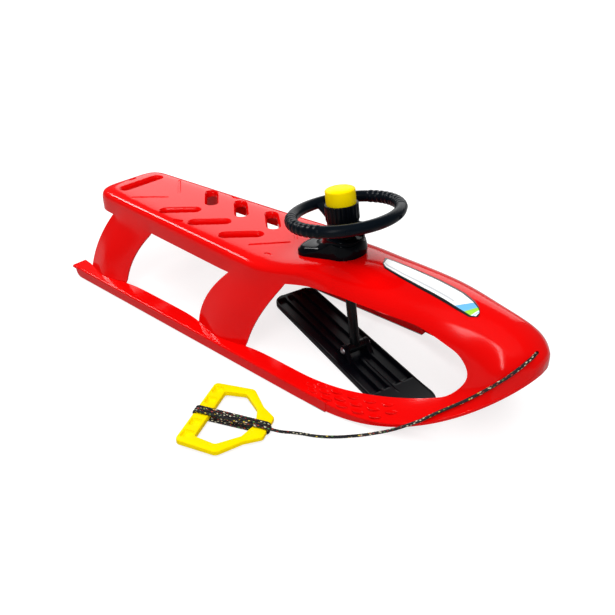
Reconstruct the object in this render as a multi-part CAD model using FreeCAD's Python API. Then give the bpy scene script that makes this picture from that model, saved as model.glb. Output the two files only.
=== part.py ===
"""A child's moulded steering sled: seat and bow in one shell, a steered ski, a horn wheel and a tow rope.

Millimetres. +X is the way it travels, +Y the rider's left, +Z up, and z = 0 is the snow.
Each node is written to parts/ as a STEP file.
"""
import FreeCAD, Part
import math
import os

V = FreeCAD.Vector
Y_AXIS, Z_AXIS = V(0, 1, 0), V(0, 0, 1)

# shell in plan
tail_x = -500
nose_end_x = 500
nose_flat = 0.4
nose_x = nose_end_x + nose_flat
nose_rib_r = 4
nose_rib_top = 8
bow_x = 150
half_beam = 157
runner_width = 34
cowl_share = 0.515
nose_share = 0.585
wall = 4
foot_leaves_x = 130
foot_joins_x = 360
foot_out = 14
foot_rise = 10
foot_high_x = 240
foot_fall_x = 390
foot_down_x = 470
cowl_starts_x = 0
cowl_full_x = 130
nose_starts_x = 300
nose_full_x = 440
nose_fade = 100
nose_round_x = 395
nose_rounded_x = 480
nose_squareness = 2.3

# shell heights
strip_thick = 3
runner_top = 25
rim_lip = 6
rim_fade = 220
rim_edge = 2.5
rim_clear = 0.5
rocker_x = 215
nose_rise = 132
nose_tip_z = 148
nose_tuck = 13
seat_z = 190
skirt_z = 145
cowl_z = 214
cowl_skirt_z = 175
nose_skirt_z = 134
skirt_rise_x = -80
skirt_high_x = 200
skirt_fall_x = 310
skirt_down_x = 460
crest_rise_x = 20
crest_high_x = 210
crest_fall_x = 230

# seat
seat_end_x = -480
seat_joint_x = -421
seat_taper = 430
seat_rear_half = 84
seat_front_half = 107
seat_squareness = 6.5
end_squareness = 4.2
cowl_squareness = 1.95
joint_lap = 6
joint_step = 0.15

# legs: the top of each edge and how far it sweeps back down to the runner
rear_leg_sweep = 45
rear_leg_front_x = -283
rear_leg_front_sweep = 60
front_leg_x = -48
front_leg_sweep = 67
front_leg_front_x = 78
front_leg_front_sweep = 66
front_leg_front_lean = 14
leg_bulge = 18
leg_spread = 1.2
window_sill = 2
window_end_x = 385
window_nose_x = 424
window_low_round = 13
window_high_round = 9

# slots in the seat: outer and inner end of the rearmost one, then the pitch
slot_outer_x = -268
slot_outer_y = 62
slot_inner_x = -226
slot_inner_y = 23
slot_pitch = 86
slot_count = 3
slot_width = 20
slot_collar = 3
slot_depth = 14
grab_x = -424
grab_half = 52
grab_width = 22

# keel and steel strip under each runner
keel_set = 2
keel_width = 15
keel_front_x = 220
tail_overhang = 12
tail_lip = 1
heel_round = 15
strip_width = 12
strip_rear_gap = 20
strip_front_gap = 2
rivet_r = 2.5
rivet_head = 1.8
rivet_sunk = 5
rivet_inset = 28

# steering axis: the ski pin's centre, the lean of the column and how far it is turned in the photograph
pin_x = 163.4
pin_z = 25
column_lean = 8.8
steer_at_rest = -20
column_r = 9
running_gap = 0.05
seat_gap = 0.3

# bearings and heights along the column, from the ski pin
clip_thick = 2
clip_step = 2
lower_bush_h = 142
bush_wall = 3
bush_flange = 3
bush_flange_step = 4
bush_length = 24
boss_wall = 5
bore_play = 1
tower_stands = 34.1
washer_thick = 1.2

# console that the column comes through
console_rear_x = 50
console_half = 46
console_corner = 20
console_lip = 16
console_sink = 30
tower_r = 34.5
waist_r = 30
waist_set = 6
flare_r = 90
flare_rise = 2
flare_mid_r = 52

# wheel
hub_r = 27
hub_foot_r = 20
hub_cone = 9
hub_thick = 21
hub_cover = 4
rim_above = 34.5
rim_half_cross = 92
rim_half_fore = 84
rim_forward = 12
rim_r = 9.2
grip_r = 10.8
grip_span = 36
web_thick = 9
web_set = 12
web_drop = 14
web_front_hub_half = 26
web_front_half = 52
web_rear_hub_half = 12
web_rear_half = 14
bolt_r = 3
bolt_head_r = 5.5
bolt_head = 4
bolt_depth = 30
bolt_end_gap = 2

# horn
housing_r = 28.5
housing_thick = 25
housing_wall = 3.1
housing_floor = 4
housing_gap = 0.2
flute_count = 22
flute_r = 1.6
cap_gap = 0.2
cap_wall = 2.5
cap_stands = 30
cap_sunk = 14
cap_shoulder = 5
cap_inside_drop = 3
horn_travel = 4.5
bellows_gap = 3.7
bellows_wall = 1.5
fold_depth = 4
folds = 4
reed_at = 11
reed_r = 2
reed_flange_r = 3.5
reed_flange = 1.5

# ski
ski_half = 47
ski_rear = -240
ski_front = 200
ski_lift = 3.6
ski_thick = 5
ski_edge = 11
ski_tip_thick = 7
ski_tip_rise = 10
ski_bend = 120
ski_heel = 30
ski_heel_rise = 4
ski_rear_corner = 24
ski_front_corner = 42
ski_rib = 4
ski_mid_rib_half = 5
ski_groove = 14
trough_end = 12
trough_round = 5
barrel_r = 9.5
barrel_half = 18
barrel_room = 20
ear_thick = 8.5
ear_r = 10
ear_foot = 24
pin_r = 4
pin_head_r = 7
pin_head = 4

# tow handle: on the floor, the middle of the bar's outer edge and the way from the bar to the apex
handle_x = 66
handle_y = -296
handle_turn = 22
bar_half = 73.5
bar_width = 26
bar_high = 10
shoulder_at = 71
shoulder_half = 78.5
arm_width = 17
neck = 25
neck_out = 18
apex_at = 126
apex_half = 24.5
apex_high = 8
apex_flat = 12
crotch = 8
pocket_inset = 5
pocket_half = 8
pocket_depth = 2.5
pocket_pitch = 28

# rope
rope_d = 5
rope_r = rope_d / 2
rope_clear = 0.4
rope_turns = 3
rope_pitch = rope_d + 0.7
rope_lead = 12
rope_tail = 9
rope_straight = 17
wind_inset = 2
knot_r = 3.5
rope_floor = rope_r + 0.3
hole_x = 487.9
hole_out = 15
hole_z = 169.6
hole_way = V(0.3, -0.85, 0.42)
hole_inside = 12
hole_outside = 10


def mix(a, b, t):
    return a + (b - a) * t


def step(x, start, end):
    t = min(1.0, max(0.0, (x - start) / (end - start)))
    return t * t * (3 - 2 * t)


def save(name, shape):
    shape.exportStep("parts/%s.step" % name)
    state = (name, shape.Volume, shape.isValid(), len(shape.Solids))
    print("%-18s volume %9.1f  valid %s  solids %d" % state)


# the shell's lines: each is a curve along x, and inset moves it inside the wall
def beam(x, inset=0):
    t = max(0.0, (x - bow_x) / (nose_x - inset - bow_x))
    return (half_beam - inset) * math.sqrt(max(0.0, 1 - t * t))


def lift(x):
    return nose_rise * max(0.0, (x - rocker_x) / (nose_x - rocker_x)) ** 2.2


def rim_low(x):
    return strip_thick + rim_clear + lift(x)


def rim_high(x):
    return rim_low(x) + mix(runner_top - strip_thick - rim_clear, rim_lip, step(x, bow_x, bow_x + rim_fade))


def share_of_beam(x, inset, share):
    fade = 1 - step(x, nose_x - nose_fade, nose_x - inset)
    return share * beam(x, inset) - inset * (1 - share) * fade


def raised(x):
    """How far the footrest's inner side is raised and set out, as a share."""
    return step(x, foot_leaves_x, foot_high_x) * (1 - step(x, foot_fall_x, foot_down_x))


def foot_half(x, inset=0):
    runner = beam(x, inset) - runner_width
    half = mix(runner, share_of_beam(x, inset, nose_share), step(x, foot_leaves_x, foot_joins_x))
    return half + foot_out * raised(x)


def foot_z(x):
    drop = runner_top - rim_lip - strip_thick - rim_clear
    return runner_top + lift(x) - drop * step(x, nose_x - nose_fade, nose_x) + foot_rise * raised(x)


def arch_half(x, inset=0):
    seat = mix(seat_rear_half, seat_front_half, (x + seat_taper) / seat_taper) - inset
    share = mix(cowl_share, nose_share, step(x, nose_starts_x, nose_full_x))
    return mix(seat, share_of_beam(x, inset, share), step(x, cowl_starts_x, cowl_full_x))


def arch_low(x):
    z = mix(skirt_z, cowl_skirt_z, step(x, skirt_rise_x, skirt_high_x))
    z = mix(z, nose_skirt_z, step(x, skirt_fall_x, skirt_down_x))
    return z + nose_tuck * step(x, skirt_down_x, nose_x)


def crest(x, inset=0):
    z = mix(seat_z, cowl_z, step(x, crest_rise_x, crest_high_x)) - inset
    tip = nose_tip_z - inset / 2
    s = max(0.0, (x - crest_fall_x) / (nose_x - inset - crest_fall_x))
    return tip + (z - tip) * math.sqrt(max(0.0, 1 - s ** 3))


rear_leg = (seat_joint_x, rear_leg_sweep, rear_leg_front_x, rear_leg_front_sweep)
front_leg = (front_leg_x, front_leg_sweep, front_leg_front_x, front_leg_front_sweep)


def leg_edge(top_x, sweep, s):
    return top_x - sweep * (1 - s * s)


def bulge(x, s):
    """How far the legs swell outwards at x, a share s of the way up from the runner."""
    total = 0
    for rear_x, rear_sweep, front_x, front_sweep in (rear_leg, front_leg):
        rear, front = leg_edge(rear_x, rear_sweep, s), leg_edge(front_x, front_sweep, s)
        across = (2 * x - rear - front) / (front - rear)
        total += leg_bulge * (1 - s * s) * math.exp(-leg_spread * across * across)
    return total


arch_parts = 14


def arch_row(half, low, high, square):
    """A quarter of a superellipse, from the skirt's lower edge up to the middle."""
    row = []
    for k in range(arch_parts):
        turn = math.pi / 2 * k / arch_parts
        out, up = math.cos(turn) ** (2 / square), math.sin(turn) ** (2 / square)
        row.append((half * out, mix(low, high, up)))
    return row + [(0.0, high)]


def squareness(x):
    return mix(seat_squareness, cowl_squareness, step(x, cowl_starts_x, crest_high_x))


def shell_row(x, inset=0):
    """Half a cross-section at x, from the rim's lower edge over the footrest and flank to the crest."""
    side, low, high = beam(x, inset), rim_low(x), rim_high(x) - inset
    inner, ledge = foot_half(x, inset) + bulge(x, 0), foot_z(x) - inset
    top_half, top_low = arch_half(x, inset), arch_low(x)
    edge = rim_edge * side / half_beam
    row = [(side, low), (side, mix(low, high, 0.5)), (side, high - edge), (side - edge, high)]
    for t in (0.2, 0.45, 0.7, 0.9, 1.0):
        row.append((mix(side, inner, t), mix(high, ledge, t)))
    foot = foot_half(x, inset)
    for s in (0.12, 0.3, 0.5, 0.7, 0.88):
        row.append((mix(foot, top_half, s) + bulge(x, s), mix(ledge, top_low, s)))
    row += arch_row(top_half, top_low, crest(x, inset), squareness(x))
    rim_count = 3
    last = len(row) - 1
    for k in range(rim_count, last):
        turn = math.pi / 2 * (k - rim_count) / (last - rim_count)
        out, up = math.cos(turn) ** (2 / nose_squareness), math.sin(turn) ** (2 / nose_squareness)
        full = step(x, nose_round_x, nose_rounded_x)
        row[k] = (mix(row[k][0], (side - edge) * out, full), mix(row[k][1], mix(high, crest(x, inset), up), full))
    return row


def seat_end_row(t, inset=0):
    """Half a cross-section of the seat's rounded rear end, from the joint at t = 0 to the end at t = 1."""
    turn = math.pi / 2 * t
    power = 2 / end_squareness
    x = seat_joint_x + (seat_end_x + inset - seat_joint_x) * math.sin(turn) ** power
    close = max(0.0, math.cos(turn)) ** power if t < 1 else 0.0
    high = mix(skirt_z, seat_z - inset, 0.5 + 0.5 * close)
    return x, arch_row(arch_half(x, inset) * close, skirt_z, high, seat_squareness)


def sheet(rows):
    """A smooth cubic surface whose control net is rows of points."""
    def knots(count):
        return [4] + [1] * (count - 4) + [4], list(range(count - 2))
    u_mults, u_knots = knots(len(rows))
    v_mults, v_knots = knots(len(rows[0]))
    surface = Part.BSplineSurface()
    surface.buildFromPolesMultsKnots(rows, u_mults, v_mults, u_knots, v_knots, False, False, 3, 3)
    return surface


def patches(surface, splits):
    """The surface in pieces, as a list along it of lists from its rim to the middle."""
    u0, u1, v0, v1 = surface.bounds()
    along, across = splits
    rows = []
    for i in range(along):
        row = []
        for j in range(across):
            part = surface.copy()
            part.segment(mix(u0, u1, i / along), mix(u0, u1, (i + 1) / along),
                         mix(v0, v1, j / across), mix(v0, v1, (j + 1) / across))
            row.append(part)
        rows.append(row)
    return rows


def hollow(outer, inner, splits):
    """A closed skin, both halves, between two sheets whose last row and last column lie on y = 0."""
    skins = [patches(outer, splits), patches(inner, splits)]
    half = [part.toShape() for skin in skins for row in skin for part in row]
    for out_part, in_part in zip(skins[0][0], skins[1][0]):
        start = [part.uIso(part.bounds()[0]).toShape() for part in (out_part, in_part)]
        half.append(Part.makeRuledSurface(*start))
    for out_row, in_row in zip(*skins):
        rim = [row[0].vIso(row[0].bounds()[2]).toShape() for row in (out_row, in_row)]
        half.append(Part.makeRuledSurface(*rim))
    skin = Part.makeShell(half + [face.mirror(V(0, 0, 0), Y_AXIS) for face in half])
    skin.sewShape()
    solid = Part.makeSolid(skin)
    if solid.Volume < 0:
        solid.reverse()
    return solid


def net(stations, row, inset):
    return [[V(x, y, z) for y, z in row(x, inset)] for x in stations]


straight_rows = 40
bow_rows = 18


def shell_stations(inset):
    straight = [mix(tail_x, bow_x, k / straight_rows) for k in range(straight_rows)]
    reach = nose_x - inset - bow_x
    return straight + [bow_x + reach * math.sin(math.pi / 2 * k / bow_rows) for k in range(bow_rows + 1)]


def side_prism(edges):
    """A solid right across the sled from a closed outline seen from the side."""
    face = Part.Face(Part.Wire(edges))
    return face.extrude(V(0, 3 * half_beam, 0)).translate(V(0, -1.5 * half_beam, 0))


def line(*points):
    return Part.makePolygon([V(*p) for p in points]).Edges


def curve(points):
    spline = Part.BSplineCurve()
    spline.interpolate([V(*p) for p in points])
    return spline.toShape()


def bezier(*points):
    path = Part.BezierCurve()
    path.setPoles([V(*p) for p in points])
    return path.toShape()


def leg_cut(top_x, sweep, low, high, forward=0):
    """One edge of a leg as seen from the side: leaning forward at the runner, swept forward at the seat."""
    foot_x = top_x - sweep
    return bezier((foot_x, 0, low), (foot_x + forward, 0, (low + high) / 2), (top_x, 0, high))


def rounded(points, radii):
    """A closed outline in the XY plane with an arc at each corner."""
    corners = [V(x, y, 0) for x, y in points]
    edges, ends = [], []
    for k, corner in enumerate(corners):
        before = (corners[k - 1] - corner).normalize()
        after = (corners[(k + 1) % len(corners)] - corner).normalize()
        half = before.getAngle(after) / 2
        reach = radii[k] / math.tan(half)
        middle = corner + (before + after).normalize() * (radii[k] / math.sin(half) - radii[k])
        ends.append((corner + before * reach, middle, corner + after * reach))
    for k, (start, middle, end) in enumerate(ends):
        edges.append(Part.Arc(start, middle, end).toShape())
        if (ends[(k + 1) % len(ends)][0] - end).Length > 1e-6:
            edges.append(Part.makeLine(end, ends[(k + 1) % len(ends)][0]))
    return Part.Wire(edges)


def slab(wire, low, high):
    return Part.Face(wire).extrude(V(0, 0, high - low)).translate(V(0, 0, low))


def slot_wire(a, b, width):
    """A straight slot with round ends."""
    along = V(b[0] - a[0], b[1] - a[1], 0).normalize() * (width / 2)
    side = V(-along.y, along.x, 0)
    start, end = V(a[0], a[1], 0), V(b[0], b[1], 0)
    return Part.Wire([Part.makeLine(start + side, end + side),
                      Part.Arc(end + side, end + along, end - side).toShape(),
                      Part.makeLine(end - side, start - side),
                      Part.Arc(start - side, start - along, start + side).toShape()])


def turned(profile):
    """A solid of revolution about Z from (radius, height) corners."""
    corners = [V(r, 0, h) for r, h in profile]
    return Part.Face(Part.makePolygon(corners + corners[:1])).revolve(V(0, 0, 0), Z_AXIS, 360)


def rod(radius, low, high):
    return Part.makeCylinder(radius, high - low, V(0, 0, low))


def ring(inner, outer, low, high):
    return rod(outer, low, high).cut(rod(inner, low, high))


def on_axis(shape, turn=0):
    """From the column's own frame, Z along it and the pin at the origin, to the sled's frame."""
    placed = shape.copy()
    placed.rotate(V(0, 0, 0), Z_AXIS, turn)
    placed.rotate(V(0, 0, 0), Y_AXIS, -column_lean)
    placed.translate(V(pin_x, 0, pin_z))
    return placed


def steered(shape):
    return on_axis(shape, steer_at_rest)


def level(shape):
    """A ski piece drawn level about the pin, leant back so that the column's lean brings it level again."""
    placed = shape.copy()
    placed.rotate(V(0, 0, 0), Y_AXIS, column_lean)
    return placed


os.makedirs("parts", exist_ok=True)
lean = math.radians(column_lean)

# how far up the column the shell's top face lies
deck_h = cowl_z - pin_z
for _ in range(20):
    deck_h = (crest(pin_x - deck_h * math.sin(lean)) - pin_z) / math.cos(lean)
tower_h = deck_h + tower_stands

# shell: bow, footrests, legs, seat and cowl as one hollow moulding
outer_skin = sheet(net(shell_stations(0), shell_row, 0))
shell = hollow(outer_skin, sheet(net(shell_stations(wall), shell_row, wall)), (11, 3))
end_rows = 14
lap_rows = 3


def seat_end_net(inset):
    rows = []
    for k in range(lap_rows):
        x = seat_joint_x + joint_lap * (1 - k / lap_rows)
        row = arch_row(arch_half(x, inset), skirt_z, seat_z - inset, seat_squareness)
        rows.append([V(x, y, z) for y, z in row])
    for k in range(end_rows + 1):
        x, row = seat_end_row(k / end_rows, inset)
        rows.append([V(x, y, z) for y, z in row])
    return rows


seat_end = hollow(sheet(seat_end_net(joint_step)), sheet(seat_end_net(wall + joint_step)), (1, 1))

sill = runner_top + window_sill
behind = tail_x - runner_width
above = seat_z + skirt_z
rear_foot_x = seat_joint_x - rear_leg_sweep
open_rear = side_prism(line((behind, 0, sill), (rear_foot_x, 0, sill))
                       + [leg_cut(seat_joint_x, rear_leg_sweep, sill, skirt_z)]
                       + line((seat_joint_x, 0, skirt_z), (seat_joint_x, 0, above), (behind, 0, above),
                              (behind, 0, sill)))

rear_top = [mix(front_leg_x, rear_leg_front_x, k / 4) for k in range(5)]
rear_window = side_prism(line((rear_leg_front_x - rear_leg_front_sweep, 0, sill),
                              (front_leg_x - front_leg_sweep, 0, sill))
                         + [leg_cut(front_leg_x, front_leg_sweep, sill, arch_low(front_leg_x)),
                            curve([(x, 0, arch_low(x)) for x in rear_top]),
                            leg_cut(rear_leg_front_x, rear_leg_front_sweep, sill,
                                    arch_low(rear_leg_front_x))])

low_x = [mix(front_leg_front_x - front_leg_front_sweep, window_end_x, k / 8) for k in range(9)]
low_line = [(x, 0, foot_z(x) + window_sill) for x in low_x]
high_line = [(x, 0, arch_low(x)) for x in [mix(window_end_x, front_leg_front_x, k / 7) for k in range(8)]]
front_window = side_prism([curve(low_line),
                           bezier(low_line[-1], (window_nose_x, 0, low_line[-1][2] + window_low_round),
                                  (window_nose_x, 0, high_line[0][2] - window_high_round), high_line[0]),
                           curve(high_line),
                           leg_cut(front_leg_front_x, front_leg_front_sweep, low_line[0][2],
                                   arch_low(front_leg_front_x), front_leg_front_lean)])

# each runner's keel stops short of the tail, with a rounded heel under the overhanging plate
keel_rear_x = tail_x + tail_overhang
keel_outer = half_beam - keel_set
keel_inner = keel_outer - keel_width
heel_z = runner_top - wall - tail_lip
heel_start = V(keel_rear_x + heel_round, 0, strip_thick)
heel_end = V(keel_rear_x, 0, strip_thick + heel_round)
heel_mid = V(heel_start.x, 0, heel_end.z) - V(1, 0, 1).normalize() * heel_round
heel_cut = side_prism(line((keel_rear_x, 0, heel_z), (behind, 0, heel_z), (behind, 0, -heel_z),
                           (heel_start.x, 0, -heel_z), heel_start)
                      + [Part.Arc(heel_start, heel_mid, heel_end).toShape()]
                      + line(heel_end, (keel_rear_x, 0, heel_z)))

# the tip is cut a little blunt, and has a rib inside
blunt = Part.makeBox(wall, 2 * half_beam, nose_tip_z, V(nose_end_x, -half_beam, nose_rise / 2))
rib_x = nose_end_x - nose_rib_r - wall / 2
nose_rib = rod(nose_rib_r, rim_low(rib_x), nose_tip_z + nose_rib_top).translate(V(rib_x, 0, 0))
body = shell.cut([open_rear, rear_window, front_window, blunt])
body = body.fuse([seat_end, nose_rib])

# slots, each with a collar that hangs below the seat
slots, collars = [], []


def add_slot(start, end, width):
    slots.append(slab(slot_wire(start, end, width), seat_z - 2 * slot_depth, seat_z + slot_depth))
    collar = slot_wire(start, end, width + 2 * slot_collar)
    collars.append(slab(collar, seat_z - slot_depth, seat_z - wall / 2))


for side in (1, -1):
    for k in range(slot_count):
        add_slot((slot_outer_x + k * slot_pitch, side * slot_outer_y),
                 (slot_inner_x + k * slot_pitch, side * slot_inner_y), slot_width)
grab_end = grab_half - grab_width / 2
add_slot((grab_x, -grab_end), (grab_x, grab_end), grab_width)

keels = []
for low_y in (keel_inner, -keel_outer):
    keels.append(Part.makeBox(keel_front_x - keel_rear_x, keel_width, runner_top - wall / 2 - strip_thick,
                              V(keel_rear_x, low_y, strip_thick)))

bush_bore = column_r + running_gap
bush_r = bush_bore + bush_wall
bush_flange_r = bush_r + bush_flange_step
boss = on_axis(rod(bush_r + boss_wall, lower_bush_h, deck_h - wall / 2))
bore = on_axis(rod(bush_r + bore_play, lower_bush_h + bush_length, tower_h))
bush_seat = on_axis(rod(bush_r, lower_bush_h - bush_flange, lower_bush_h + bush_length + wall / 4))
hole_way.normalize()
hole_at = V(hole_x, -hole_out, hole_z)
rope_start = hole_at - hole_way * hole_inside
rope_hole = Part.makeCylinder(rope_r + rope_clear, hole_inside + hole_outside, rope_start, hole_way)
strip_rear_x = keel_rear_x + strip_rear_gap
strip_front_x = keel_front_x - strip_front_gap
strip_y = (keel_inner + keel_outer) / 2
rivet_x = [strip_rear_x + rivet_inset, (strip_rear_x + strip_front_x) / 2, strip_front_x - rivet_inset]
rivet_holes = [Part.makeCylinder(rivet_r, strip_thick + rivet_sunk, V(x, side * strip_y, 0))
               for x in rivet_x for side in (1, -1)]
body = body.fuse(collars + keels + [boss])
body = body.cut(slots + [heel_cut, bore, bush_seat, rope_hole] + rivet_holes)
save("sled_body", body)

# steel strips and their rivets
for name, side in (("left", 1), ("right", -1)):
    strip = Part.makeBox(strip_front_x - strip_rear_x, strip_width, strip_thick,
                         V(strip_rear_x, side * strip_y - strip_width / 2, 0))
    for k, x in enumerate(rivet_x):
        place = V(x, side * strip_y, 0)
        shank = Part.makeCylinder(rivet_r, strip_thick + rivet_sunk, place)
        head = Part.makeCone(2 * rivet_r, rivet_r, rivet_head, place)
        rivet = shank.fuse(head).removeSplitter()
        strip = strip.cut(rivet)
        save("strip_rivet_%s_%d" % (name, k + 1), rivet)
    save("glide_strip_%s" % name, strip)

# console, trimmed underneath to the shell's own surface
front_x = pin_x - deck_h * math.sin(lean)
stations = shell_stations(0)
v_end = outer_skin.bounds()[3]
u_from = max(0, sum(x < console_rear_x for x in stations) - 4)
u_to = min(len(stations) - 3, sum(x < front_x + 2 * tower_r for x in stations) + 2)
core = outer_skin.toShape(u_from, u_to, v_end - 9, v_end).extrude(V(0, 0, -3 * console_sink))
core = core.fuse(core.mirror(V(0, 0, 0), Y_AXIS))
plan = rounded([(console_rear_x, console_half), (console_rear_x, -console_half),
                (front_x - waist_set, -tower_r - 1), (front_x + tower_r, -tower_r),
                (front_x + tower_r, tower_r), (front_x - waist_set, tower_r + 1)],
               [console_corner, console_corner, waist_r, tower_r - 2, tower_r - 2, waist_r])
deck_rear = crest(console_rear_x)
lip_z = deck_rear + console_lip
blank = slab(plan, deck_rear - console_sink, pin_z + tower_h + console_sink)
slope = (crest(front_x + tower_r) - deck_rear) / (front_x + tower_r - console_rear_x)
lip_low = deck_rear - 2 * console_sink
under_lip = side_prism(line((tail_x, 0, lip_low), (nose_x, 0, lip_low),
                            (nose_x, 0, lip_z + slope * (nose_x - console_rear_x)),
                            (console_rear_x, 0, lip_z), (tail_x, 0, lip_z), (tail_x, 0, lip_low)))
flare_low = deck_h - console_sink - wall
flare = Part.Wire(line((0, 0, flare_low), (flare_r, 0, flare_low), (flare_r, 0, deck_h + flare_rise))
                  + [bezier((flare_r, 0, deck_h + flare_rise), (flare_mid_r, 0, deck_h + flare_rise + 3),
                            (tower_r + 1, 0, deck_h + flare_rise + 7), (tower_r, 0, tower_h))]
                  + line((tower_r, 0, tower_h), (0, 0, tower_h), (0, 0, flare_low)))
flare = on_axis(Part.Face(flare).revolve(V(0, 0, 0), Z_AXIS, 360))
console = blank.common(under_lip.fuse(flare)).cut(core)
upper_bush_h = tower_h - bush_length
console = console.cut(on_axis(rod(bush_r + bore_play, lower_bush_h, upper_bush_h)))
console = console.cut(on_axis(rod(bush_r, upper_bush_h - wall / 4, tower_h + bush_flange)))
save("steering_console", console)

# bushes, washer and clip on the column
upper_bush = ring(bush_bore, bush_r, upper_bush_h, tower_h)
upper_bush = upper_bush.fuse(ring(bush_bore, bush_flange_r, tower_h, tower_h + bush_flange)).removeSplitter()
lower_bush = ring(bush_bore, bush_r, lower_bush_h, lower_bush_h + bush_length)
lower_flange = ring(bush_bore, bush_flange_r, lower_bush_h - bush_flange, lower_bush_h)
lower_bush = lower_bush.fuse(lower_flange).removeSplitter()
save("upper_bush", on_axis(upper_bush))
save("lower_bush", on_axis(lower_bush))
washer_h = tower_h + bush_flange + seat_gap
hub_h = washer_h + washer_thick
save("column_washer", steered(ring(column_r, bush_flange_r, washer_h, hub_h)))
clip_top = lower_bush_h - bush_flange - seat_gap
save("column_clip", steered(ring(column_r, bush_flange_r - clip_step, clip_top - clip_thick, clip_top)))

# column with a cross barrel for the ski pin
hub_top = hub_h + hub_thick
column_top = hub_top - hub_cover
column = rod(column_r, 0, column_top)
barrel = Part.makeCylinder(barrel_r, 2 * barrel_half, V(0, -barrel_half, 0), Y_AXIS)
column = column.fuse(barrel).removeSplitter()
pin_hole = Part.makeCylinder(pin_r + running_gap, 4 * barrel_half, V(0, -2 * barrel_half, 0), Y_AXIS)
column = column.cut(pin_hole)
bolt_hole = rod(bolt_r, column_top - bolt_depth, hub_top + housing_thick)
column = column.cut(bolt_hole)
save("steering_column", steered(column))

# wheel: oval rim with two thicker grips, a broad web in front, a spoke behind and a hub
rim_h = hub_h + rim_above
oval = Part.Ellipse(V(0, rim_half_cross, 0), V(-rim_half_fore, 0, 0), V(0, 0, 0))


def rim_tube(start, end, radius):
    path = Part.Wire(oval.toShape(math.radians(start), math.radians(end)))
    edge = path.Edges[0]
    at, way = edge.valueAt(edge.FirstParameter), edge.tangentAt(edge.FirstParameter)
    section = Part.Wire(Part.makeCircle(radius, at, way))
    return path.makePipeShell([section], True, True)


rim = rim_tube(0, 180, rim_r).fuse([rim_tube(180, 360, rim_r)])
grips = [rim_tube(centre - grip_span, centre + grip_span, grip_r) for centre in (360, 180)]
rim = rim.fuse(grips)
rim.translate(V(rim_forward, 0, rim_h))


def web(x0, half0, low0, x1, half1, low1):
    ends = []
    for x, half, low in ((x0, half0, low0), (x1, half1, low1)):
        ends.append(Part.makePolygon([V(x, -half, low), V(x, half, low), V(x, half, low + web_thick),
                                      V(x, -half, low + web_thick), V(x, -half, low)]))
    return Part.makeLoft(ends, True)


hub = turned([(0, hub_h), (hub_foot_r, hub_h), (hub_r, hub_h + hub_cone), (hub_r, hub_top), (0, hub_top)])
web_low = rim_h - web_thick / 2
front_web = web(web_set, web_front_hub_half, hub_top - web_drop,
                rim_forward + rim_half_fore, web_front_half, web_low)
rear_web = web(-web_set, web_rear_hub_half, hub_top - web_drop,
               rim_forward - rim_half_fore, web_rear_half, web_low)
wheel = hub.fuse([front_web, rear_web, rim])
wheel = wheel.cut([rod(column_r, 0, column_top), bolt_hole,
                   rod(housing_r + housing_gap, hub_top, hub_top + 2 * housing_thick)])
save("steering_wheel", steered(wheel))

# horn: fluted housing bolted on the hub, a cap that slides in it, a bellows and its reed
housing_top = hub_top + housing_thick
floor_h = hub_top + housing_floor
housing_bore = housing_r - housing_wall
flutes = []
for k in range(flute_count):
    turn = math.tau * k / flute_count
    flute = rod(flute_r, hub_top - flute_r, housing_top + flute_r)
    flute.translate(V(math.cos(turn), math.sin(turn), 0) * (housing_r + flute_r / 2))
    flutes.append(flute)
reed_hole = rod(reed_r, hub_top, floor_h)
reed_hole.translate(V(reed_at, 0, 0))
housing = rod(housing_r, hub_top, housing_top).cut(rod(housing_bore, floor_h, housing_top))
housing = housing.cut(flutes + [bolt_hole, reed_hole])
save("horn_housing", steered(housing))

head_h = floor_h + washer_thick
corners = [math.pi / 3 * k for k in range(7)]
hexagon = Part.makePolygon([V(bolt_head_r * math.cos(a), bolt_head_r * math.sin(a), 0) for a in corners])
bolt = rod(bolt_r, column_top - bolt_depth + bolt_end_gap, head_h)
bolt = bolt.fuse(slab(hexagon, head_h, head_h + bolt_head)).removeSplitter()
save("wheel_bolt", steered(bolt))
save("wheel_washer", steered(ring(bolt_r, bolt_head_r + 1, floor_h, head_h)))
reed = rod(reed_r, hub_top, floor_h).fuse(rod(reed_flange_r, floor_h, floor_h + reed_flange)).removeSplitter()
reed.translate(V(reed_at, 0, 0))
save("horn_reed", steered(reed))

cap_r = housing_bore - cap_gap
cap_top_h = housing_top + cap_stands
cap_low = housing_top - cap_sunk
cap_bore = cap_r - cap_wall
cap_roof = cap_top_h - cap_wall
cap_eave = cap_roof - 2 * cap_inside_drop
cap_face = Part.Wire(line((0, 0, cap_roof), (cap_bore - cap_shoulder, 0, cap_roof - cap_inside_drop),
                          (cap_bore, 0, cap_eave), (cap_bore, 0, cap_low), (cap_r, 0, cap_low),
                          (cap_r, 0, cap_top_h - cap_shoulder))
                     + [bezier((cap_r, 0, cap_top_h - cap_shoulder), (cap_r, 0, cap_top_h - cap_shoulder / 2),
                               (cap_r - cap_shoulder, 0, cap_top_h), (0, 0, cap_top_h))]
                     + line((0, 0, cap_top_h), (0, 0, cap_roof)))
cap = Part.Face(cap_face).revolve(V(0, 0, 0), Z_AXIS, 360)
save("horn_button", steered(cap))

# bellows, as high as the pressed cap leaves it
fold_out = cap_bore - bellows_gap
bellows_high = cap_eave - horn_travel - seat_gap
outside, inside = [], []
for k in range(2 * folds + 1):
    h = mix(floor_h, bellows_high, k / (2 * folds))
    r = fold_out - fold_depth * (k % 2)
    outside.append((r, h))
    inside.append((r - bellows_wall, h))
bellows = turned(outside + [(0, bellows_high), (0, bellows_high - bellows_wall)]
                 + [(inside[-1][0], bellows_high - bellows_wall)] + inside[-2::-1])
save("horn_bellows", steered(bellows))

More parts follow.
